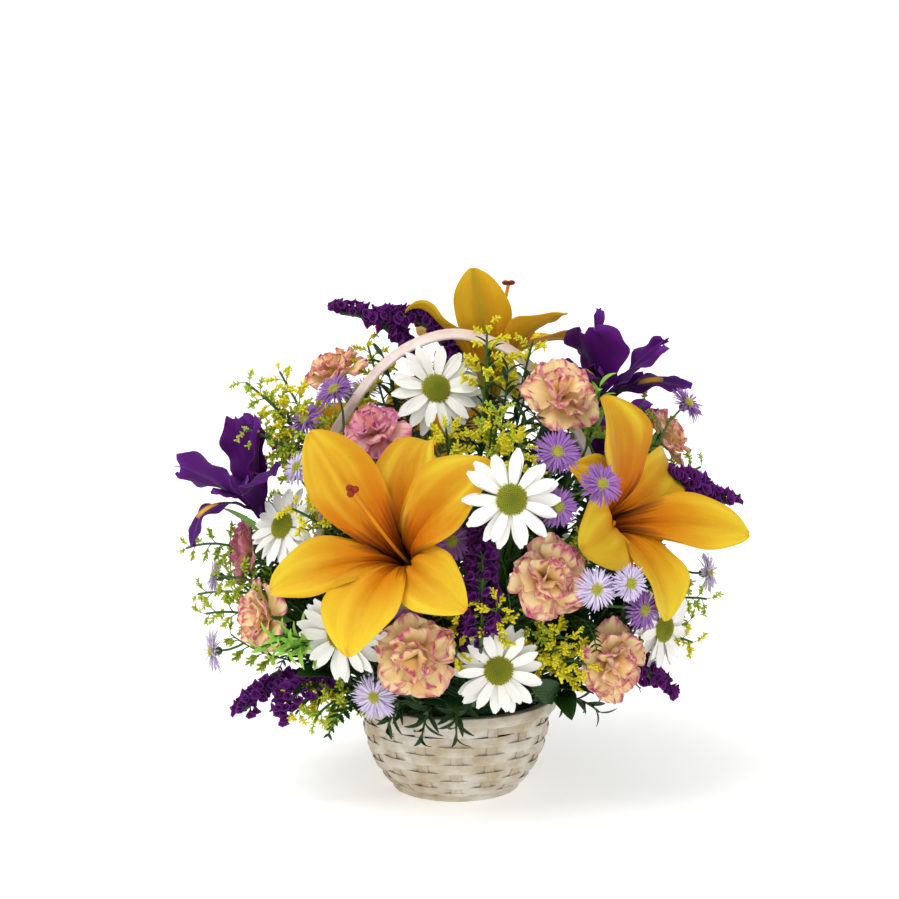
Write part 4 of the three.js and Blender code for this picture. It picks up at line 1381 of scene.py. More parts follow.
def pose(at: Triple, turn: float, rise: float, roll: float = 0.0) -> Matrix:
    """Places a bloom that looks along a direction.

    Args:
        at: Where it is.
        turn: The turn of the way that it looks, in degrees.
        rise: The rise of that way, in degrees.
        roll: How far it is turned about its own axis, in degrees.

    Returns:
        The place. As the bloom is faced, local x is right and y is up.
    """
    forward = direction(turn, rise)
    right = Vector((0, 0, 1)).cross(forward).normalized()
    up = forward.cross(right)
    basis = Matrix((right, up, forward)).transposed().to_4x4()
    return Matrix.Translation(at) @ basis @ Matrix.Rotation(math.radians(roll), 4, "Z")


def axis(*heights: float) -> list[Vector]:
    """Points on the z axis."""
    return [Vector((0, 0, z)) for z in heights]


def bezier(points: Sequence[Vector], count: int) -> list[Vector]:
    """Follows a cubic curve.

    Args:
        points: The curve's four control points.
        count: How many points are wanted.

    Returns:
        The points, with both ends.
    """
    a, b, c, d = points
    shares = [i / (count - 1) for i in range(count)]
    return [a * (1 - t) ** 3 + b * 3 * t * (1 - t) ** 2 + c * 3 * t * t * (1 - t) + d * t**3 for t in shares]


def stem_path(end: Vector, forward: Vector, root: Pair | None = None, count: int = 14) -> list[Vector]:
    """A stem's points.

    Args:
        end: Where it meets what it carries.
        forward: The direction that it has there.
        root: The turn and the rise that it has in the foam, where they don't follow from its end.
        count: How many points its bend has.

    Returns:
        The points from inside the foam to the end.
    """
    away = end - AIM
    bearing = math.degrees(math.atan2(away.x, -away.y))
    slope = math.degrees(math.atan2(away.z, math.hypot(away.x, away.y)))
    turn, rise = root or (bearing, max(slope, LOWEST_ROOT))
    straight = direction(turn, rise)
    surface = 1 / math.hypot(math.hypot(straight.x, straight.y) / FOAM_REACH, straight.z / FOAM_RISE)
    outside = AIM + straight * (surface + 3)
    span = (end - outside).length * BEND_SHARE
    bend = bezier([outside, outside + straight * span, end - forward * span, end], count)
    return [AIM + straight * (surface - ROOT_DEPTH)] + bend


def stalk(path: Path, radius: float, end: float = 1.0, skin: str = "stem", sides: int = 8) -> Mesh:
    """A round stalk along a path, with its end's size as a share of its root's."""
    width = 2 * radius
    return grow(strip_tree(), skin, path, Width=width, Thickness=width, Sides=sides, End_Size=end)


def twig(path: Path) -> Mesh:
    """A thin stalk with few sides, for where many of them stand close."""
    return stalk(path, 0.9, end=0.5, sides=4)


def part_of(path: Sequence[Vector], length: float) -> list[Vector]:
    """Cuts off the last stretch of a path.

    Args:
        path: The path's points.
        length: The length wanted.

    Returns:
        The points of the stretch.
    """
    kept = [path[-1]]
    for point in reversed(path[:-1]):
        gap = (kept[-1] - point).length
        if gap > length:
            kept.append(kept[-1].lerp(point, length / gap))
            break
        kept.append(point)
        length -= gap
    return kept[::-1]


def leaves_along(path: Path, count: int, length: float, seed: int, skin: str = "bright_leaf") -> Mesh:
    """Narrow leaves set round a stalk, smaller towards its end.

    Args:
        path: The stretch of the stalk that bears them.
        count: How many there are.
        length: The length of the longest ones.
        seed: The seed of their draws.
        skin: Their finish.

    Returns:
        The mesh.
    """
    rng = np.random.default_rng(seed)
    leaf = Petal(length=length, width=length * 0.22, start=14, end=66, base=0.3, fullest=0.42, cup=0.22,
                 groove=0.3, sway=1.0, rows=8, columns=5, thick=0.4)
    unit = leaf.body(0, (0, 0), rng).unit(skin)
    return grow(along_tree(), skin, path, Unit=unit, Count=count, Lean=0.35, Sway=0.35, End_Size=0.65,
                Seed=seed)


# The basket and what is in it.


@dataclass
class Basket:
    """The woven wall: chip strips over and under upright stakes, hoops at the rim and a woven foot."""

    stakes: int = 16
    rows: int = 9
    wall: tuple[Pair, ...] = (
        (36.2, 1.4), (41.0, 5.6), (47.6, 14), (53.4, 28), (56.4, 43), (57.4, 52),
    )
    relief: float = 1.0
    chip: float = 1.0  # the strips' thickness and width
    chip_width: float = 6.5
    stake_width: float = 6.5
    foot_rows: int = 5
    foot_start: float = 7.0  # the radius of the foot's first row, and from row to row
    foot_step: float = 6.1
    rings: tuple[tuple[float, ...], ...] = (  # radius, height, width, thickness and tone
        (61.0, 54.2, 6.6, 1.5, 0.2), (56.2, 54.4, 6.4, 1.3, 0.7), (58.9, 57.0, 1.6, 4.4, 0.4),
        (38.2, 2.2, 4.2, 1.4, 0.6),
    )

    def wall_point(self, share: float) -> Triple:
        """Finds a place on the wall's middle.

        Args:
            share: How far up the wall, from 0 to 1.

        Returns:
            The radius, the height and the outward slope there.
        """
        radii, heights = np.array(self.wall).T
        run = np.concatenate([[0], np.cumsum(np.hypot(np.diff(radii), np.diff(heights)))])
        fit = [np.polyfit(run / run[-1], values, 4) for values in (radii, heights)]
        r, z = (float(np.polyval(f, share)) for f in fit)
        dr, dz = (float(np.polyval(np.polyder(f), share)) for f in fit)
        return r, z, math.atan2(dr, dz)

    def ring(self, piece: Piece, **values: Any) -> None:
        """Adds one strip that goes round."""
        piece.add(grow(weaver_tree(), "washed_chip", Stakes=self.stakes, **values))

    def weave(self, piece: Piece) -> None:
        """Adds the rows of the wall and the flat rows of the foot.

        Args:
            piece: The basket.
        """
        rng = np.random.default_rng(4)
        for row in range(self.rows):
            r, z, slope = self.wall_point((row + 0.62) / (self.rows + 0.35))
            self.ring(
                piece, Radius=r, Height=z + rng.uniform(-0.4, 0.4), Relief=self.relief,
                Width=self.chip_width + rng.uniform(-0.5, 0.5), Thickness=self.chip, Slope=slope,
                Phase=math.pi * (row % 2) + rng.uniform(-0.3, 0.3), Wobble=2.0, Steps=160,
                Tone=float(rng.uniform(0.1, 0.9)),
            )
        for row in range(self.foot_rows):
            radius = self.foot_start + self.foot_step * row
            self.ring(piece, Radius=radius, Height=1.7, Width=5.9, Thickness=1.0, Slope=math.pi / 2,
                      Wobble=0.2, Steps=64, Tone=float(rng.uniform(0.1, 0.9)))

    def uprights(self, piece: Piece) -> None:
        """Adds the stakes, from the middle of the foot up the wall to the rim.

        Args:
            piece: The basket.
        """
        wall = [self.wall_point(share)[:2] for share in np.linspace(0.02, 1, 12)]
        path = [(3.0, 2.4), (20, 2.4), (33, 2.4)] + wall + [(wall[-1][0] + 0.3, 55.5)]
        for k in range(self.stakes):
            turn = FULL_TURN * k / self.stakes
            points = [(r * math.cos(turn), r * math.sin(turn), z) for r, z in path]
            piece.add(grow(strip_tree(), "washed_stake", points, Width=0.9, Thickness=self.stake_width,
                           Sides=10, Square=0.5, Tone=(k * 0.37) % 1))

    def hoops(self, piece: Piece) -> None:
        """Adds the two hoops of the rim, the cane on top of them and the hoop round the foot.

        Args:
            piece: The basket.
        """
        for radius, height, width, thick, tone in self.rings:
            self.ring(piece, Radius=radius, Height=height, Width=width, Thickness=thick, Tone=tone)

    def build(self) -> None:
        """Makes the basket."""
        piece = Piece("woven_basket", Slot.BASKET, "basket")
        self.weave(piece)
        self.uprights(piece)
        self.hoops(piece)
        piece.finish()


@dataclass
class Handle:
    """The bent wood strip."""

    width: float = 11.0
    thick: float = 2.2
    half: tuple[Pair, ...] = (
        (52, 36), (54, 57), (55.6, 63), (64.1, 80), (75.6, 110), (82.1, 145), (84.1, 178), (80.6, 202),
        (73.6, 219), (63.6, 235), (48.6, 255), (28.6, 270.5), (0, 278),
    )

    def build(self) -> None:
        """Makes the handle along the same route as its solid."""
        inset = self.thick / 2
        right = [Vector((x - inset, 0, z)) for x, z in self.half]
        knots = right + [Vector((-p.x, 0, p.z)) for p in reversed(right[:-1])]
        route: list[Vector] = []
        for i in range(len(knots) - 1):
            before, after = knots[max(i - 1, 0)], knots[min(i + 2, len(knots) - 1)]
            a, b = knots[i], knots[i + 1]
            route += bezier([a, a + (b - before) / 6, b - (after - a) / 6, b], 7)[:-1]
        route.append(knots[-1])
        piece = Piece("bent_handle", Slot.HANDLE, "handle")
        piece.add(grow(strip_tree(), "washed_handle", route, Width=self.thick, Thickness=self.width, Sides=20,
                       Square=0.35, Tilt=-0.38, Tone=0.4))
        piece.finish()


# The flowers.


@dataclass
class Bloom:
    """What every flower has: its name, its place, and the way its stem leaves the foam."""

    name: str
    at: Triple = (0, 0, 0)
    turn: float = 0.0
    rise: float = 0.0
    roll: float = 0.0
    root: Pair | None = None
    kind: ClassVar[str] = "bloom"
    slot: ClassVar[Slot] = Slot.STEM

    def piece(self, part: str = "bloom") -> Piece:
        """A piece that stands for the bloom's solid."""
        whole = f"{self.kind}_{self.name}"
        return Piece(f"{whole}_{part}", self.slot, whole)

    def stalk_piece(self) -> Piece:
        """A piece that stands for the stem's own solid."""
        whole = f"{self.kind}_{self.name}"
        return Piece(whole + "_stalk", Slot.STEM, whole + "_stem")

    @property
    def place(self) -> Matrix:
        """The bloom's place in the arrangement."""
        return pose(self.at, self.turn, self.rise, self.roll)

    @property
    def rng(self) -> Draw:
        """A draw of its own for each bloom."""
        return np.random.default_rng(number_of(self.kind + self.name, 3))

    @property
    def seed(self) -> int:
        """A seed of its own for the growing trees."""
        return int(self.rng.integers(1, 9999))

    def stem(self, back: float, count: int = 14) -> list[Vector]:
        """The points of the stem that ends so far behind the bloom's face."""
        forward = direction(self.turn, self.rise)
        return stem_path(Vector(self.at) - forward * back, forward, self.root, count)


@dataclass
class Lily(Bloom):
    """Six tepals that flare from a throat, a long style with a lobed stigma, and a green stem."""

    petals: tuple[tuple[float, ...], ...] = ()
    size: float = 1.0
    depth: float = 24.0
    throat: float = 9.5
    style_tip: Triple = (-2, 6, 44)
    kind: ClassVar[str] = "lily"
    slot: ClassVar[Slot] = Slot.LILY
    wide_tepal: ClassVar[tuple[float, ...]] = (74, 41, 92, 0.2)  # length, width, the tip's angle and the cup
    narrow_tepal: ClassVar[tuple[float, ...]] = (69, 33, 104, 0.24)
    stigma_turns: ClassVar[Triple] = (0.4, 2.5, 4.6)

    def tepals(self) -> Body:
        """The tepals, wide and narrow in turn.

        Each one has its turn and, where they aren't the usual ones, the tip's angle, its share of the usual
        length, its share of the usual width and how far it curls back.

        Returns:
            The tepals as one body.
        """
        rng, made = self.rng, []
        for i, (turn, *own) in enumerate(self.petals):
            wide = i % 2 == 0
            length, width, usual, cup = self.wide_tepal if wide else self.narrow_tepal
            end, share, breadth = (*own, *(usual, 1.0, 1.0)[len(own):])[:3]
            curl = own[3] if len(own) > 3 else rng.uniform(8, 24)
            shape = Petal(
                length=self.size * share * length, width=self.size * width * breadth, start=min(38, end),
                end=end, ease=0.8, base=0.4, fullest=0.52, blunt=0.08, point=0.82, cup=cup,
                claw=self.depth - 1, claw_angle=12, groove=2.0, ripple=1.6 if wide else 2.0, waves=1.8,
                recurve=curl, sway=rng.uniform(-2, 2), twist=rng.uniform(-0.12, 0.12), pleats=0.55,
                rows=28, columns=17, thick=0.8,
            )
            foot = (self.throat, 0.6) if wide else (self.throat + 0.8, -1.2)
            # Painted light and shade: tepals that point down in the bloom are painted paler and yellower, and
            # those that point up deeper orange.
            downward_painted_light = 0.5 - 0.5 * math.sin(math.radians(turn))
            made.append(shape.body(turn, foot, rng, downward_painted_light))
        return Body.merged(made)

    def build(self) -> None:
        """Makes the bloom and its stem."""
        piece = self.piece()
        piece.add(self.tepals().mesh("lily"), self.place)
        tip = Vector(self.style_tip)
        style = bezier([*axis(2 - self.depth, 2), tip * 0.6, tip], 12)
        piece.add(stalk(style, 0.9, end=1.3, skin="style"), self.place)
        spots = [
            (tip.x + 2.1 * math.cos(turn), tip.y + 2.1 * math.sin(turn), tip.z + 0.6)
            for turn in self.stigma_turns
        ]
        lobes = Body.merged([ball((2.4, 2.2, 1.6), spot, rings=5, sides=8) for spot in spots])
        piece.add(lobes.mesh("stigma"), self.place)
        # A near-black bead deep in the throat, as painted shade.
        cup = ball((4.2, 4.2, 4.5), (0, 0, 3.4 - self.depth), rings=6, sides=10)
        piece.add(cup.mesh("throat"), self.place)
        piece.finish()
        self.stalk_piece().add(stalk(self.stem(self.depth + 0.3), 2.4, end=0.9)).finish()


@dataclass
class Iris(Bloom):
    """Three falls with a yellow blotch, three standards and three style arms, in a green spathe."""

    depth: float = 9.0
    spathe: float = 27.0
    falls: tuple[Pair, ...] = ((0, 150), (120, 146), (240, 154))
    standards: tuple[tuple[float, ...], ...] = ((60, 40, 25, 0.3), (180, 34, 25, -0.4), (300, 46, 25, 0.4))
    sheaths: tuple[tuple[float, ...], ...] = ((60, 42, 14, 22), (235, 34, 12, 10))
    kind: ClassVar[str] = "iris"
    slot: ClassVar[Slot] = Slot.IRIS

    def build(self) -> None:
        """Makes the bloom, its spathe and its stem."""
        rng = self.rng
        falls, others = [], []
        for turn, end in self.falls:
            fall = Petal(
                length=53, width=27, start=36, end=end, ease=1.3, base=0.34, fullest=0.74, blunt=0.5,
                cup=-0.12, claw=8, claw_angle=20, ripple=2.2, waves=2.4, shoulder=0.07, frill=1.4, frills=2,
                rows=26, columns=13, thick=0.7,
            )
            falls.append(fall.body(turn, (4.5, 0), rng, rng.uniform(0, 1)))
            arm = Petal(
                length=25, width=14, start=24, end=min(end, 60), base=0.4, fullest=0.7, blunt=0.5, cup=-0.3,
                claw=6, claw_angle=14, ripple=1.0, waves=2, notch=0.16, frill=1.6, frills=2, rows=16,
                columns=9, thick=0.7,
            )
            others.append(arm.body(turn, (2.4, 2), rng, rng.uniform(0, 1)))
        for turn, end, width, twist in self.standards:
            standard = Petal(
                length=50, width=width, start=min(end, 16), end=end, base=0.32, fullest=0.66, blunt=0.45,
                cup=0.2, claw=8, claw_angle=24, ripple=2.4, waves=2.6, frill=2.2, frills=2.6, notch=0.05,
                teeth=0.06, sway=rng.uniform(-3, 3), twist=twist, rows=24, columns=13, thick=0.6,
            )
            others.append(standard.body(turn, (4.6, 0), rng, rng.uniform(0, 1)))
        piece = self.piece()
        piece.add(Body.merged(falls).mesh("iris_fall"), self.place)
        piece.add(Body.merged(others).mesh("iris_standard"), self.place)
        tube = stalk(axis(-self.depth, -6, -3, 1), 3.4, end=1.3, skin="iris_standard", sides=12)
        piece.add(tube, self.place).finish()
        self.build_stem()

    def build_stem(self) -> None:
        """Makes the stem with the spathe that holds the bloom."""
        rng = self.rng
        stem = self.stalk_piece()
        stem.add(stalk(self.stem(self.depth + 0.3, 18), 2.3, end=0.95))
        foot = -self.depth - self.spathe
        for turn, length, width, bend in self.sheaths:
            sheath = Petal(length=length, width=width, start=5, end=bend, base=0.7, fullest=0.34, cup=0.5,
                           groove=0.3, rows=14, columns=9, thick=0.7)
            stem.add(sheath.body(turn, (2.6, foot), rng, rng.uniform(0, 1)).mesh("spathe"), self.place)
        swelling = ball((4.6, 4.6, 13), (0, 0, foot + 13), rings=8, sides=12)
        stem.add(swelling.mesh("spathe"), self.place).finish()


@dataclass
class Daisy(Bloom):
    """Two rings of grooved white petals round a domed disc of florets."""

    radius: float = 30.0
    disc: float = 0.27
    kind: ClassVar[str] = "daisy"
    slot: ClassVar[Slot] = Slot.DAISY

    def petal(self, reach: float, width: float, rng: Draw) -> Object:
        """Makes one petal that lies outwards from the rim of the disc.

        Args:
            reach: Its length.
            width: Its width.
            rng: The draw for its waves.

        Returns:
            The petal, for a tree to repeat.
        """
        shape = Petal(length=reach, width=width, start=80, end=99, base=0.45, fullest=0.66, blunt=0.46,
                      cup=0.12, ripple=0.3, waves=1.2, notch=0.03, shoulder=0.1, frill=0.3, frills=2.4,
                      rows=9, columns=7, thick=0.45)
        return shape.body(0, (0, 0), rng).unit("daisy")

    def build(self) -> None:
        """Makes the bloom with its stem."""
        rng, r = self.rng, self.radius
        inner = r * self.disc
        piece = self.piece()
        for layer, (count, reach, width, height, tilt) in enumerate((
            (14, r - inner + 1.2, r * 0.26, -1.2, 0.07), (11, (r - inner) * 0.93, r * 0.23, 0.2, -0.1),
        )):
            unit = self.petal(reach, width, rng)
            piece.add(grow(
                whorl_tree(), "daisy", Unit=unit, Count=count, Radius=inner - 1.6, Height=height, Tilt=tilt,
                Spread=0.15, Phase=layer * 0.27, Seed=self.seed + layer,
            ), self.place)
        floret = ball((0.62, 0.62, 1.1), (0, 0, 0.35), rings=1, sides=4, cap=0.7).unit("disc")
        florets = grow(disc_tree(), "disc", Unit=floret, Count=210, Radius=inner, Dome=3.6, Seed=self.seed)
        piece.add(florets, self.place)
        dome = ball((inner, inner, 3.4), rings=8, sides=16, tone=0.2)
        under = ball((inner * 0.9, inner * 0.9, 4.4), (0, 0, -2.6), rings=6, sides=14)
        piece.add(dome.mesh("disc"), self.place).add(under.mesh("stem"), self.place)
        piece.add(stalk(self.stem(6), 1.7, end=0.9)).finish()


@dataclass
class Carnation(Bloom):
    """Layers of broad folded petals with toothed margins, on a long green calyx."""

    radius: float = 24.0
    depth: float = 24.0
    skin: str = "carnation"
    kind: ClassVar[str] = "carnation"
    slot: ClassVar[Slot] = Slot.CARNATION
    layers: ClassVar[tuple[tuple[Any, ...], ...]] = (
        (5, 1.0, 62, 94, -5.0, 3.2), (4, 0.86, 46, 76, -3.0, 2.6), (4, 0.66, 26, 52, -1.5, 1.9),
        (3, 0.5, 10, 32, 0.0, 1.0),
    )

    def petals(self) -> Body:
        """The petals, from the flat outer ones to the upright ones in the middle.

        Each layer has its count, its share of the bloom's radius, the angles that its petals start and end
        with, and their foot's height and distance from the axis.

        Returns:
            The petals as one body.
        """
        rng, made = self.rng, []
        for count, share, start, end, height, out in self.layers:
            phase = rng.uniform(0, 360)
            for k in range(count):
                length = self.radius * share * rng.uniform(0.92, 1.06) - out + 1.5
                shape = Petal(
                    length=length, width=self.radius * (0.66 + 0.42 * share),
                    start=start + rng.uniform(-12, 12), end=end + rng.uniform(-24, 20), ease=0.9, base=0.16,
                    fullest=0.84, blunt=0.62, cup=rng.uniform(-0.2, 0.16), claw=9, claw_angle=6, ripple=1.5,
                    waves=1.2, frill=rng.uniform(0.9, 2.0), frills=rng.uniform(1.4, 2.5), shoulder=0.24,
                    teeth=0.03, sway=rng.uniform(-1, 1), twist=rng.uniform(-0.4, 0.4), rows=10, columns=21,
                )
                turn = phase + 360 * (k + rng.uniform(-0.2, 0.2)) / count
                made.append(shape.body(turn, (out, height), rng, rng.uniform(0, 1)))
        return Body.merged(made)

    def build(self) -> None:
        """Makes the bloom with its calyx and its stem."""
        piece = self.piece()
        piece.add(self.petals().mesh(self.skin), self.place)
        calyx = stalk(axis(-self.depth, -20, -14, -9, -6), 3.0, end=1.7, skin="spathe", sides=12)
        piece.add(calyx, self.place)
        tooth = Petal(length=7, width=5, start=8, end=40, base=0.9, fullest=0.1, cup=0.2, rows=6, columns=5)
        teeth = [tooth.body(72 * k, (4.4, -8), self.rng) for k in range(5)]
        piece.add(Body.merged(teeth).mesh("spathe"), self.place)
        piece.add(stalk(self.stem(self.depth - 1), 1.7, end=1.1)).finish()


@dataclass
class AsterSpray(Bloom):
    """One stem that forks to heads of narrow rays."""

    fork: Triple = (0, 0, 0)
    heads: tuple[tuple[Triple, float, float, float, str], ...] = ()
    kind: ClassVar[str] = "aster"
    slot: ClassVar[Slot] = Slot.ASTER
    rings: ClassVar[tuple[tuple[Any, ...], ...]] = (
        (40, 1.0, -0.6, 0.04), (34, 0.92, 0.1, -0.12), (22, 0.8, 0.8, -0.32),
    )

    def head(self, piece: Piece, place: Matrix, radius: float, skin: str, seed: int) -> None:
        """Adds one head.

        Args:
            piece: The spray that it belongs to.
            place: The head's place.
            radius: The radius over its rays.
            skin: The rays' finish.
            seed: The seed of its draws.

        Each ring of rays has its count, its share of the radius, its height and its tilt.
        """
        rng = np.random.default_rng(seed)
        for layer, (count, share, height, tilt) in enumerate(self.rings):
            ray = Petal(length=radius * share - 2.2, width=1.35, start=82, end=102, base=0.6, fullest=0.6,
                        blunt=0.3, cup=0.3, sway=0.4, rows=4, columns=3, thick=0.35)
            unit = ray.body(0, (0, 0), rng).unit(skin)
            piece.add(grow(whorl_tree(), skin, Unit=unit, Count=count, Radius=2.2, Height=height, Tilt=tilt,
                           Spread=0.26, Phase=layer * 0.14, Seed=seed + layer), place)
        floret = ball((0.32, 0.32, 1.2), (0, 0, 0.5), rings=1, sides=4, cap=0.6).unit("eye")
        piece.add(grow(disc_tree(), "eye", Unit=floret, Count=70, Radius=3.2, Dome=1.9, Seed=seed), place)
        dome = ball((3.2, 3.2, 1.8), rings=5, sides=12, tone=0.1)
        under = ball((3.0, 3.0, 3.6), (0, 0, -2.4), rings=5, sides=10)
        piece.add(dome.mesh("eye"), place).add(under.mesh("stem"), place)

    def build(self) -> None:
        """Makes the spray."""
        origin = Vector(self.fork)
        mean = sum((Vector(at) for at, *_ in self.heads), Vector()) / len(self.heads)
        onward = (mean - origin).normalized()
        piece = self.piece("spray")
        stem = stem_path(origin, onward, self.root)
        piece.add(stalk(stem, 1.5, end=0.85))
        for i, (at, turn, rise, radius, skin) in enumerate(self.heads):
            forward = direction(turn, rise)
            neck = Vector(at) - forward * 4
            span = (neck - origin).length * 0.4
            branch = bezier([origin, origin + onward * span, neck - forward * span, neck], 10)
            piece.add(stalk(branch, 0.9, end=0.8, sides=6))
            self.head(piece, pose(at, turn, rise, 17 * i), radius, skin, self.seed + 10 * i)
        piece.add(leaves_along(stem[3:], count=7, length=15, seed=self.seed))
        piece.finish()


@dataclass
class Spray:
    """A stalk that ends at a tip and flowers, or bears leaves, along its last stretch.

    It is solid where it stands for a CAD solid of its own, and not where it only fills in.
    """

    name: str
    tip: Triple
    turn: float
    rise: float
    flowering: float
    root: Pair | None = None
    solid: bool = True
    kind: ClassVar[str] = "spray"
    slot: ClassVar[Slot] = Slot.STEM

    def piece(self, part: str) -> Piece:
        """A piece that stands for the spray's solid, unless it is one of the small ones that fill in."""
        whole = f"{self.kind}_{self.name}"
        return Piece(f"{whole}_{part}", self.slot, *([whole] if self.solid else []))

    @property
    def seed(self) -> int:
        """A seed of its own for each spray."""
        return number_of(self.kind + self.name, 5)

    @property
    def path(self) -> list[Vector]:
        """The stalk's points, from inside the foam to the tip."""
        return stem_path(Vector(self.tip), direction(self.turn, self.rise), self.root, 22)


@dataclass
class Statice(Spray):
    """Papery violet florets crowded along the upper side of a round stalk."""

    sides: tuple[float, ...] = (-1.1, -0.55, 0.0, 0.55, 1.1)
    kind: ClassVar[str] = "statice"
    slot: ClassVar[Slot] = Slot.STATICE

    def build(self) -> None:
        """Makes the spray."""
        piece = self.piece("spray")
        path = self.path
        piece.add(stalk(path, 1.5, end=0.75, skin="statice_calyx"))
        crowded = part_of(path, self.flowering)
        mouth = ruffled_cup(radius=3.0, depth=4.0, ruffle=0.8, sides=7, rows=3, foot=5.0).unit("statice")
        calyx = ball((1.1, 1.1, 3.2), (0, 0, 3.0), rings=1, sides=4, cap=0.5).unit("statice_calyx")
        count = int(self.flowering / 2.8)
        for i, side in enumerate(self.sides):
            for unit, skin in ((mouth, "statice"), (calyx, "statice_calyx")):
                piece.add(grow(
                    along_tree(), skin, crowded, Unit=unit, Count=count + i % 3, Lean=0.98, Step=0.0,
                    Sway=0.9, Size=1.2, End_Size=0.8, Phase=side - math.pi / 2, Seed=self.seed + i,
                ))
        piece.finish()


@dataclass
class Goldenrod(Spray):
    """A plume of branchlets, each lined with small buds, over narrow leaves."""

    skin: str = "bud"
    branchlet: ClassVar[tuple[Pair, ...]] = ((0, 0), (0, 0.4), (0.12, 0.7), (0.35, 0.93))
    kind: ClassVar[str] = "goldenrod"
    slot: ClassVar[Slot] = Slot.GOLDENROD

    def plume(self, piece: Piece, length: float, reach: float) -> None:
        """Adds the branchlets.

        Args:
            piece: The piece that they belong to.
            length: The stretch of the stalk that bears them.
            reach: The length of the longest ones.
        """
        curve = bezier([Vector((reach * out, 0, reach * up)) for out, up in self.branchlet], 7)
        bud = ball((1.1, 1.1, 1.8), (0, 0, 1.6), rings=1, sides=4, cap=0.6).unit(self.skin)
        buds = grow(along_tree(), self.skin, curve[2:], Unit=bud, Count=int(reach / 0.95), Lean=0.85,
                    Sway=0.8, Size=1.15, End_Size=1.1, Seed=self.seed)
        wood = stalk(curve, 0.45, end=0.6, sides=4)
        run = part_of(self.path, length)
        for mesh, skin in ((buds, self.skin), (wood, "stem")):
            mesh.attributes.remove(mesh.attributes["tone"])
            unit = bpy.data.objects.new("unit", mesh)
            piece.add(grow(along_tree(), skin, run, Unit=unit, Count=int(length / 2.9), Lean=0.78, Sway=0.45,
                           Size=1.2, End_Size=0.5, Seed=self.seed))

    def build(self) -> None:
        """Makes the plume."""
        piece = self.piece("plume")
        path = self.path
        piece.add(stalk(path, 1.2, end=0.6))
        self.plume(piece, self.flowering + 6, 16.0)
        low = part_of(path, self.flowering + 45)[:-8] or path[:6]
        piece.add(leaves_along(low, count=12, length=17, seed=self.seed))
        piece.finish()


@dataclass
class Fern(Spray):
    """A frond: lobed leaflets in two ranks along an arched rib, or a twig with a few narrow leaves."""

    reach: float = 15.0
    narrow: bool = False
    skin: str = "leaf"
    kind: ClassVar[str] = "fern"
    slot: ClassVar[Slot] = Slot.LEAF

    def frond(self, piece: Piece, path: list[Vector], fine: bool = True) -> None:
        """Adds the leaflets along a stalk, longest near the frond's foot.

        Args:
            piece: The piece that they belong to.
            path: The stalk's points.
            fine: Whether each leaflet is lobed.
        """
        rng = np.random.default_rng(self.seed)
        width, lobes, rows = (0.5, 4, 13) if fine else (0.34, 0, 3)
        leaflet = Petal(length=self.reach, width=self.reach * width, start=-4, end=16, base=0.6, fullest=0.3,
                        cup=0.12, lobes=lobes, lobe_depth=0.4, rows=rows, columns=3, thick=0.4)
        run, count = part_of(path, self.flowering), int(self.flowering / 4.0)
        for phase, turn in ((0.0, 90), (math.pi, -90)):
            unit = leaflet.body(turn, (0, 0), rng).unit("leaf")
            piece.add(grow(along_tree(), "leaf", run, Unit=unit, Count=count, Lean=0.95, Step=0.0, Sway=0.2,
                           End_Size=0.3, Phase=phase, Seed=self.seed))

    def build(self) -> None:
        """Makes the frond, or the twig."""
        piece = self.piece("frond")
        path = self.path
        piece.add(stalk(path, 1.2, end=0.5))
        if self.narrow:
            run, count = part_of(path, self.flowering + 10), int(self.flowering * 0.45)
            piece.add(leaves_along(run, count, length=19, seed=self.seed, skin=self.skin))
        else:
            self.frond(piece, path)
        piece.finish()


def stands_out(point: Vector) -> bool:
    """Tests for the space before the face of a large bloom or about the bare side of the handle.

    Args:
        point: The point.

    Returns:
        Whether greenery there would hide one of them.
    """
    beside = abs(math.hypot(point.x, point.z - ARCH_HEIGHT) - ARCH_RADIUS) < ARCH_GAP
    if beside and point.x < ARCH_BEHIND and ARCH_BEFORE < point.y < ARCH_BEHIND:
        return True
    for bloom, reach in BLOOM_FACES:
        away = point - Vector(bloom.at)
        ahead = away.dot(direction(bloom.turn, bloom.rise))
        if ahead > FACE_DEPTH and math.sqrt(max(away.length_squared - ahead * ahead, 0)) < reach:
            return True
    return False


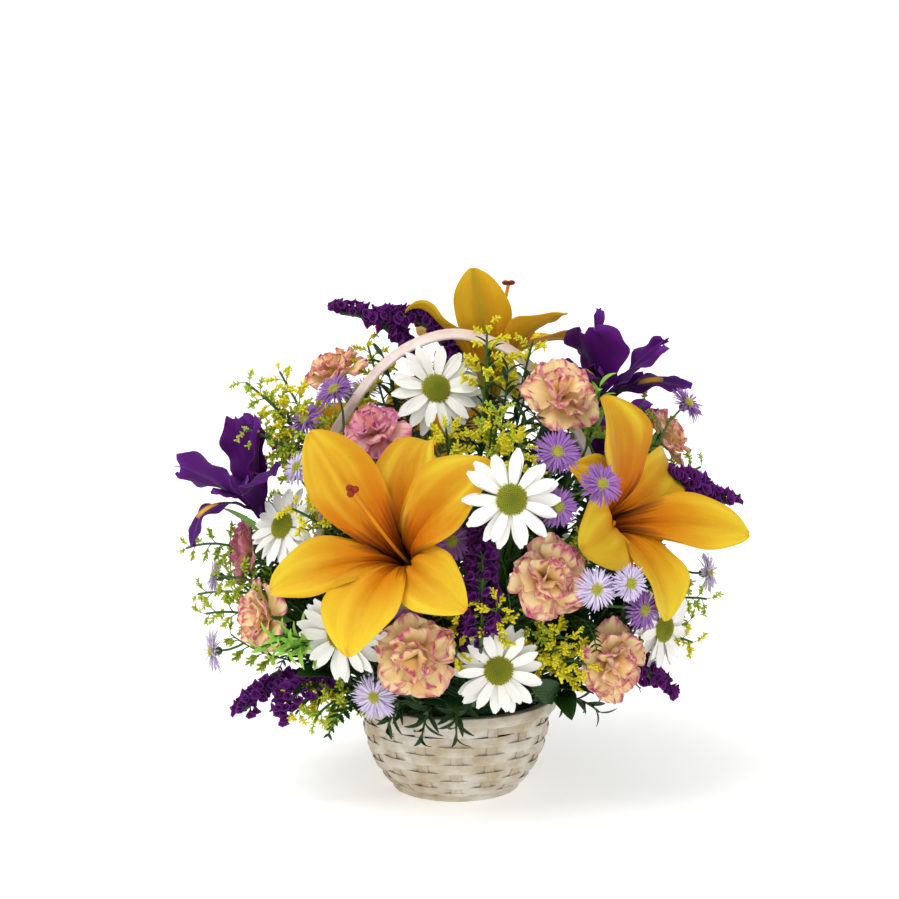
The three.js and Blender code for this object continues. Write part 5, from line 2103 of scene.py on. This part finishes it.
@dataclass
class Thicket:
    """The greenery between the stems on one side: arched fronds, broad leaves and unopened plumes."""

    name: str
    turns: Pair
    level_reach: float = 104.0
    upright_reach: float = 192.0
    fronds: int = 34
    leaves: int = 34
    sprigs: int = 15
    seed: int = 1
    lowest: float = 0.02
    highest: float = 0.97
    lean_over: float = 0.5
    frond_blade: float = 84.0
    sprig_blade: float = 34.0

    def ways(self, count: int, salt: int) -> Iterable[tuple[float, float, Draw]]:
        """Spreads directions evenly over this side of the dome.

        Args:
            count: How many there are.
            salt: A number that sets these draws apart.

        Returns:
            The turn, the rise and the draw of each.
        """
        low, high = self.turns
        for k in range(count):
            rng = np.random.default_rng(self.seed * 100 + salt + k)
            height = self.lowest + (self.highest - self.lowest) * (k + rng.uniform(0.2, 0.8)) / count
            turn = low + (high - low) * ((k * 0.618 + rng.uniform(0, 0.1)) % 1)
            yield turn, math.degrees(math.asin(height)), rng

    def reach(self, way: Vector) -> float:
        """How far the greenery goes from the stems' aim in a direction: a dome with full shoulders."""
        level, up = math.hypot(way.x, way.y) / self.level_reach, way.z / self.upright_reach
        return (level**3 + up**3) ** (-1 / 3)

    def arched(self, turn: float, rise: float, inward: float, rng: Draw) -> list[Vector]:
        """A stalk that leaves the foam one way and arches over to lie across another.

        Args:
            turn: The turn at the foam, in degrees.
            rise: The rise at the foam, in degrees.
            inward: How far the tip stays under the dome, in millimetres.
            rng: The draw for the way that it arches; a low one never arches down over the basket.

        Returns:
            The stalk's points.
        """
        root = direction(turn, max(rise, LOWEST_FILLER))
        widest = math.radians(80 if rise < 35 else 180)
        side = rng.uniform(-widest, widest)
        across = root.cross(Vector((0, 0, 1))).normalized()
        over = (across * math.sin(side) + across.cross(root) * math.cos(side)).normalized()
        end = (root * math.cos(self.lean_over) + over * math.sin(self.lean_over)).normalized()
        onward = (over - end * over.dot(end)).normalized()
        tip = AIM + end * (self.reach(end) - inward)
        return stem_path(tip, (onward + end * 0.3).normalized(), (turn, max(rise, LOWEST_FILLER)), 12)

    def build(self) -> None:
        """Makes this side's greenery."""
        piece = Piece(f"greenery_{self.name}", Slot.LEAF)
        for turn, rise, rng in self.ways(self.fronds, 0):
            path = self.arched(turn, rise, rng.uniform(-4, 20), rng)
            if any(stands_out(point) for point in path[5:]):
                path = self.arched(turn, rise, rng.uniform(40, 55), rng)
            piece.add(twig(path))
            maker = Fern(f"{self.name}{int(turn)}", (0, 0, 0), 0, 0, self.frond_blade)
            maker.frond(piece, path, fine=False)
        for turn, rise, rng in self.ways(self.leaves, 40):
            path = self.arched(turn, rise, rng.uniform(18, 50), rng)
            leaf = Petal(length=36, width=14, start=6, end=60, base=0.3, fullest=0.45, cup=0.16, groove=0.8,
                         ripple=0.8, rows=10, columns=5, thick=0.5)
            made = leaf.body(0, (0, 0), rng, rng.uniform(0, 1))
            onward = (path[8] - path[5]).normalized()
            place = Matrix.Translation(path[6]) @ onward.to_track_quat("Z", "Y").to_matrix().to_4x4()
            piece.add(stalk(path[:7], 0.9, end=0.8, sides=4))
            piece.add(made.mesh("leaf"), place @ Matrix.Rotation(rng.uniform(0, 6.3), 4, "Z"))
        piece.finish()
        self.build_sprigs()

    def build_sprigs(self) -> None:
        """Makes this side's small plumes, some in yellow bud and some still green."""
        piece = Piece(f"sprigs_{self.name}", Slot.GOLDENROD)
        for i, (turn, rise, rng) in enumerate(self.ways(self.sprigs, 80)):
            way = direction(turn, rise)
            tip = AIM + way * (self.reach(way) + rng.uniform(2, 18))
            upward = rise + rng.uniform(-12, 24)
            if rise < LOWEST_SPRIG or stands_out(tip):
                continue
            skin = "green_bud" if i % 3 else "bud"
            maker = Goldenrod(f"{self.name}{i}", tuple(tip), turn, upward, self.sprig_blade, skin=skin)
            piece.add(twig(maker.path))
            maker.plume(piece, self.sprig_blade, 13.0)
        piece.finish()


LILIES = (
    Lily("front_left", (-34, -97, 166), -25, 31, style_tip=(-13, 19, 45),
         petals=((41, 92, 1.0, 1.08), (86, 112, 0.96, 1.15, 50), (135, 92, 1.08, 1.02, 0),
                 (207, 108, 1.03, 1.05), (266, 98, 0.88, 1.14), (329, 104, 0.86, 1.15))),
    Lily("right", (94, -68, 180), 54, 25, style_tip=(-2, -3, -7),
         petals=((98, 86, 0.9, 1.28, 30), (124, 140, 0.56, 1.0, 0), (194, 138, 0.56, 1.15, 30),
                 (268, 112, 0.87, 1.2, 20), (333, 80, 1.04, 0.86, 0), (18, 120, 0.9, 1.25, 10))),
    Lily("top", (22, 31, 258), 180, 78, size=0.86, style_tip=(-10, 5, 46),
         petals=((75, 36), (135, 82), (190, 120), (250, 95), (312, 95), (6, 50, 0.98, 0.85, 95))),
    Lily("back", (-28, 100, 172), 194, 30, petals=((28,), (88,), (150,), (210,), (268,), (330,))),
)
IRISES = (
    Iris("left", (-119, -24, 180), -80, 62, 8, falls=((10, 106), (165, 140), (270, 172)),
         standards=((60, 36, 24, 0.3), (124, 24, 26, 0.5), (258, 46, 27, 1.3)),
         sheaths=((270, 46, 14, 34), (60, 36, 12, 14))),
    Iris("top_right", (88, 12, 240), 60, 68, 15, falls=((158, 112), (30, 132), (285, 98)),
         standards=((98, 20, 22, 0.2), (140, 52, 34, 0.9), (272, 34, 25, 0.4)), sheaths=((235, 34, 12, 10),)),
    Iris("back", (88, 84, 186), 140, 50, 0),
)
DAISIES = (
    Daisy("top", (-12, -26, 249), 18, 22),
    Daisy("centre", (30, -130, 203), 6, 12, root=(24, 48)),
    Daisy("low_left", (-66, -88, 116), -22, 4),
    Daisy("low_front", (24, -96, 97), 4, 2, radius=29),
    Daisy("left", (-101, -52, 172), -42, 28, radius=27),
    Daisy("low_right", (121, -58, 112), 48, 2, radius=28),
    Daisy("back_high", (22, 76, 236), 168, 42, radius=29),
    Daisy("back_low", (52, 108, 126), 156, 8, radius=29),
)
CARNATIONS = (
    Carnation("top_right", (61, -48, 249), 20, 40),
    Carnation("top_left", (-74, 20, 254), -70, 62, radius=20),
    Carnation("inner_left", (-48, -44, 228), -22, 52, radius=20, skin="carnation_rose"),
    Carnation("far_left", (-126, -14, 150), -84, 8, radius=20, skin="carnation_rose"),
    Carnation("low_left", (-115, -44, 115), -58, 4, radius=23),
    Carnation("front", (-23, -101, 106), -8, 4, radius=25),
    Carnation("centre_right", (51, -107, 153), 16, 14, radius=25),
    Carnation("low_right", (90, -78, 97), 34, -2),
    Carnation("far_right", (128, 15, 214), 82, 34, root=(100, 46), radius=20),
    Carnation("back", (-76, 84, 126), 218, 10),
)
BLOOM_FACES: tuple[tuple[Bloom, float], ...] = tuple(  # with the radius that has to stay bare before each
    (bloom, reach)
    for blooms, reach in ((LILIES, 66.0), (DAISIES, 32.0), (CARNATIONS, 27.0))
    for bloom in blooms
)
PURPLE, LAVENDER, GREEN = "aster_purple", "aster_lavender", "green_bud"
ASTERS = (
    AsterSpray("centre", fork=(43, -88, 188), root=(36, 54), heads=(
        ((56, -112, 226), 8, 30, 15, PURPLE), ((80, -122, 210), 24, 24, 14, PURPLE),
        ((56, -121, 197), 10, 14, 13, PURPLE))),
    AsterSpray("right_low", fork=(70, -60, 124), heads=(
        ((78, -116, 149), 20, 10, 14, LAVENDER), ((97, -114, 152), 28, 8, 12, LAVENDER),
        ((106, -98, 133), 34, 6, 14, PURPLE))),
    AsterSpray("front_low", fork=(-34, -62, 84), heads=(
        ((-47, -84, 78), -24, -2, 16, LAVENDER), ((-29, -90, 135), -6, 16, 14, PURPLE),
        ((-2, -96, 172), -10, 14, 12, PURPLE))),
    AsterSpray("top_left", fork=(-60, -18, 200), heads=(
        ((-72, -14, 246), -40, 52, 14, PURPLE), ((-89, -26, 230), -56, 44, 14, PURPLE),
        ((-92, -50, 206), -52, 34, 12, LAVENDER))),
    AsterSpray("left", fork=(-96, -14, 108), heads=(
        ((-146, -22, 89), -74, 2, 14, LAVENDER), ((-146, 2, 130), -88, 14, 12, LAVENDER))),
    AsterSpray("right", fork=(104, -12, 146), root=(83, 40), heads=(
        ((137, -14, 238), 70, 40, 13, PURPLE), ((151, -16, 136), 74, 10, 13, LAVENDER))),
    AsterSpray("back", fork=(-20, 74, 214), heads=(
        ((-3, 93, 246), 184, 44, 14, PURPLE), ((-58, 78, 232), 210, 44, 14, LAVENDER))),
)
STATICES = (
    Statice("top_left", (-70, 36, 286), -84, 4, 66, (-150, 70)),
    Statice("centre", (13, -98, 180), -6, 78, 70, (5, 15), sides=(-2.6, -1.9, -1.0, 0.0, 1.0, 1.9, 2.6)),
    Statice("low_left", (-124, -52, 62), -62, -42, 42),
    Statice("low_right", (122, -52, 74), 62, -44, 40),
    Statice("right", (160, -24, 180), 88, -26, 60, (72, 42), sides=(-0.9, -0.3, 0.3, 0.9)),
    Statice("back", (-108, 66, 196), 236, 30, 50),
)
GOLDENRODS = (
    Goldenrod("top_left", (-124, -22, 252), -84, 38, 52, (-76, 58), skin=GREEN),
    Goldenrod("upper_left", (-54, 32, 268), -110, 74, 36, (-128, 76)),
    Goldenrod("top_centre", (18, -30, 286), 6, 80, 34),
    Goldenrod("centre", (20, -68, 240), 0, 56, 36),
    Goldenrod("left", (-158, 12, 116), -92, -12, 48, (-98, 30), skin=GREEN),
    Goldenrod("low_left", (-94, -64, 62), -44, -48, 34),
    Goldenrod("low_right", (58, -92, 108), 22, 20, 34),
)
FERNS = (
    Fern("low_left", (-74, -78, 54), -44, -66, 44),
    Fern("low_front", (0, -86, 54), 2, -62, 30, narrow=True),
    Fern("back", (6, 132, 78), 182, -40, 74),
    Fern("left", (-122, 32, 92), -104, -34, 62),
)
SPRIGS = tuple(
    Goldenrod(f"sprig_{i + 1}", tip, turn, rise, flowering, None, False, *skin)
    for i, (tip, turn, rise, flowering, *skin) in enumerate((
        ((-162, -12, 150), -90, -20, 44, GREEN), ((-150, -22, 112), -84, -10, 34, GREEN),
        ((-140, -30, 137), -80, 4, 34, GREEN), ((-96, -66, 64), -48, -40, 34),
        ((-82, -76, 62), -44, -46, 30, GREEN), ((-122, -30, 225), -76, 20, 40, GREEN),
        ((-112, -26, 244), -66, 46, 44), ((-104, -20, 258), -60, 60, 36), ((-94, -72, 186), -50, 24, 30),
        ((-6, -66, 232), -4, 40, 34), ((25, -74, 243), 10, 44, 34, GREEN), ((37, -94, 227), 16, 30, 26),
        ((45, -14, 275), 40, 70, 34), ((3, -104, 136), 0, 6, 34), ((0, -104, 110), 0, 0, 30),
        ((63, -97, 116), 28, 4, 34), ((74, -96, 100), 34, -8, 30), ((46, -96, 126), 18, 8, 20, GREEN),
        ((149, -30, 123), 74, -6, 34, GREEN), ((140, -40, 99), 70, -20, 34),
        ((148, 8, 196), 90, 24, 34, GREEN), ((112, 8, 234), 76, 52, 34, GREEN),
    ))
)
STATICE_FILLERS = (
    Statice("top_middle", (-40, 34, 284), -84, 0, 50, (-130, 78), False),
    Statice("centre_low", (15, -112, 166), 2, 76, 50, (8, 12), False, sides=(-2.2, -1.2, -0.3, 0.6, 1.5)),
    Statice("corner_left", (-100, -70, 66), -46, -66, 34, None, False),
    Statice("corner_right", (114, -66, 84), 54, -50, 34, None, False),
    Statice("right_upper", (146, -24, 188), 86, -38, 50, (72, 50), False),
)
TUFTS = tuple(
    Fern(f"tuft_{i + 1}", tip, turn, rise, 26, None, False, narrow=True, skin="tuft")
    for i, (tip, turn, rise) in enumerate((
        ((-104, -92, 116), -40, 6), ((-112, -86, 108), -56, -14), ((-98, -96, 108), -30, -10),
    ))
)
HANGING = tuple(
    Fern(name, tip, turn, rise, leafy, None, False, 15.0, True, *skin)
    for name, tip, turn, rise, leafy, *skin in (
        ("top_left", (-44, 16, 262), -30, 60, 44), ("top_middle", (20, -14, 272), 10, 74, 44),
        ("top_right", (44, -26, 256), 30, 60, 44), ("inner_right", (70, -24, 236), 40, 50, 44),
        ("inner_middle", (40, -60, 236), 20, 50, 44), ("iris_left", (84, -34, 252), 10, 74, 30, "tuft"),
        ("inner_low", (54, -58, 226), 24, 50, 44), ("inner_up", (30, -34, 262), 10, 74, 44),
        ("inner_far", (66, -6, 242), 50, 60, 44), ("inner_deep", (68, -70, 206), 26, 40, 44),
        ("inner_core", (50, -64, 204), 10, 40, 44), ("shoulder_right", (122, 0, 214), 80, 40, 44),
        ("shoulder_left", (-96, -24, 226), -60, 40, 44), ("rim_left", (-40, -72, 56), -26, -60, 30),
        ("rim_middle", (-20, -80, 52), -14, -62, 30), ("rim_right", (84, -60, 62), 52, -30, 30),
    )
)
FILLERS = (
    Thicket("front", (-50, 50), 112, seed=3),
    Thicket("right", (50, 130), 130, seed=5),
    Thicket("back", (130, 230), 112, seed=7),
    Thicket("left", (230, 310), 130, seed=11),
)


# The studio.


@dataclass
class Studio:
    """Camera, floor and lights. The camera looks at the arrangement from a little above level."""

    lens: float = 100.0
    distance: float = 1.5
    elevation: float = 10.0
    target: Triple = (-0.004, 0.0, 0.208)
    floor_side: float = 200.0
    lamps: tuple[tuple[str, float, float, Triple], ...] = (
        ("key", 1.65, 35, (-0.45, -0.4, 1.0)), ("fill", 0.85, 100, (0.25, -1.0, 0.3)),
    )

    def camera(self) -> None:
        """Sets up the camera."""
        lift = math.radians(self.elevation)
        away = Vector((0, -math.cos(lift), math.sin(lift)))
        data = bpy.data.cameras.new("camera")
        data.lens, data.sensor_width = self.lens, 36.0
        camera = shown("camera", data)
        camera.location = Vector(self.target) + away * self.distance
        camera.rotation_euler = away.to_track_quat("Z", "Y").to_euler()
        bpy.context.scene.camera = camera

    def lamp(self, name: str, energy: float, spread: float, source: Triple) -> None:
        """Adds a large soft light.

        Args:
            name: Its name.
            energy: Its strength.
            spread: How wide it looks, in degrees.
            source: The direction that it comes from.
        """
        data = bpy.data.lights.new(name, "SUN")
        data.energy, data.angle = energy, math.radians(spread)
        lamp = shown(name, data)
        lamp.rotation_euler = Vector(source).to_track_quat("Z", "Y").to_euler()

    def world(self) -> None:
        """Even white light from all round; the camera sees it as pure white."""
        world = bpy.data.worlds.new("studio")
        world.use_nodes = True
        g = Graph(world.node_tree)
        seen = g.add("ShaderNodeLightPath", out="Is Camera Ray")
        strength = g.plus(0.6, g.times(seen, 0.4))
        back = world.node_tree.nodes["Background"]
        back.inputs["Color"].default_value = (1, 1, 1, 1)
        world.node_tree.links.new(strength, back.inputs["Strength"])
        bpy.context.scene.world = world

    def floor(self) -> None:
        """The wide pale floor."""
        side = self.floor_side
        mesh = bpy.data.meshes.new("floor")
        corners = [(-side, -side, 0), (side, -side, 0), (side, side, 0), (-side, side, 0)]
        mesh.from_pydata(corners, [], [(0, 1, 2, 3)])
        mesh.materials.append(finish("studio_floor"))
        shown("floor", mesh)

    def build(self) -> None:
        """Sets up the whole studio."""
        bpy.context.scene.view_settings.view_transform = "Standard"
        self.camera()
        for lamp in self.lamps:
            self.lamp(*lamp)
        self.world()
        self.floor()


def main() -> None:
    """Builds the studio and every sub-assembly in order."""
    logging.basicConfig(level=logging.INFO, format="%(message)s")
    Studio().build()
    for kept in ("liner", "foam"):
        materials = frame["nodes"][kept].data.materials
        materials.clear()
        materials.append(finish(kept))
    Basket().build()
    Handle().build()
    for maker in (*LILIES, *IRISES, *DAISIES, *CARNATIONS, *ASTERS, *STATICES, *GOLDENRODS, *FERNS, *SPRIGS,
                  *STATICE_FILLERS, *TUFTS, *HANGING, *FILLERS):
        maker.build()


if __name__ == "__main__":
    main()
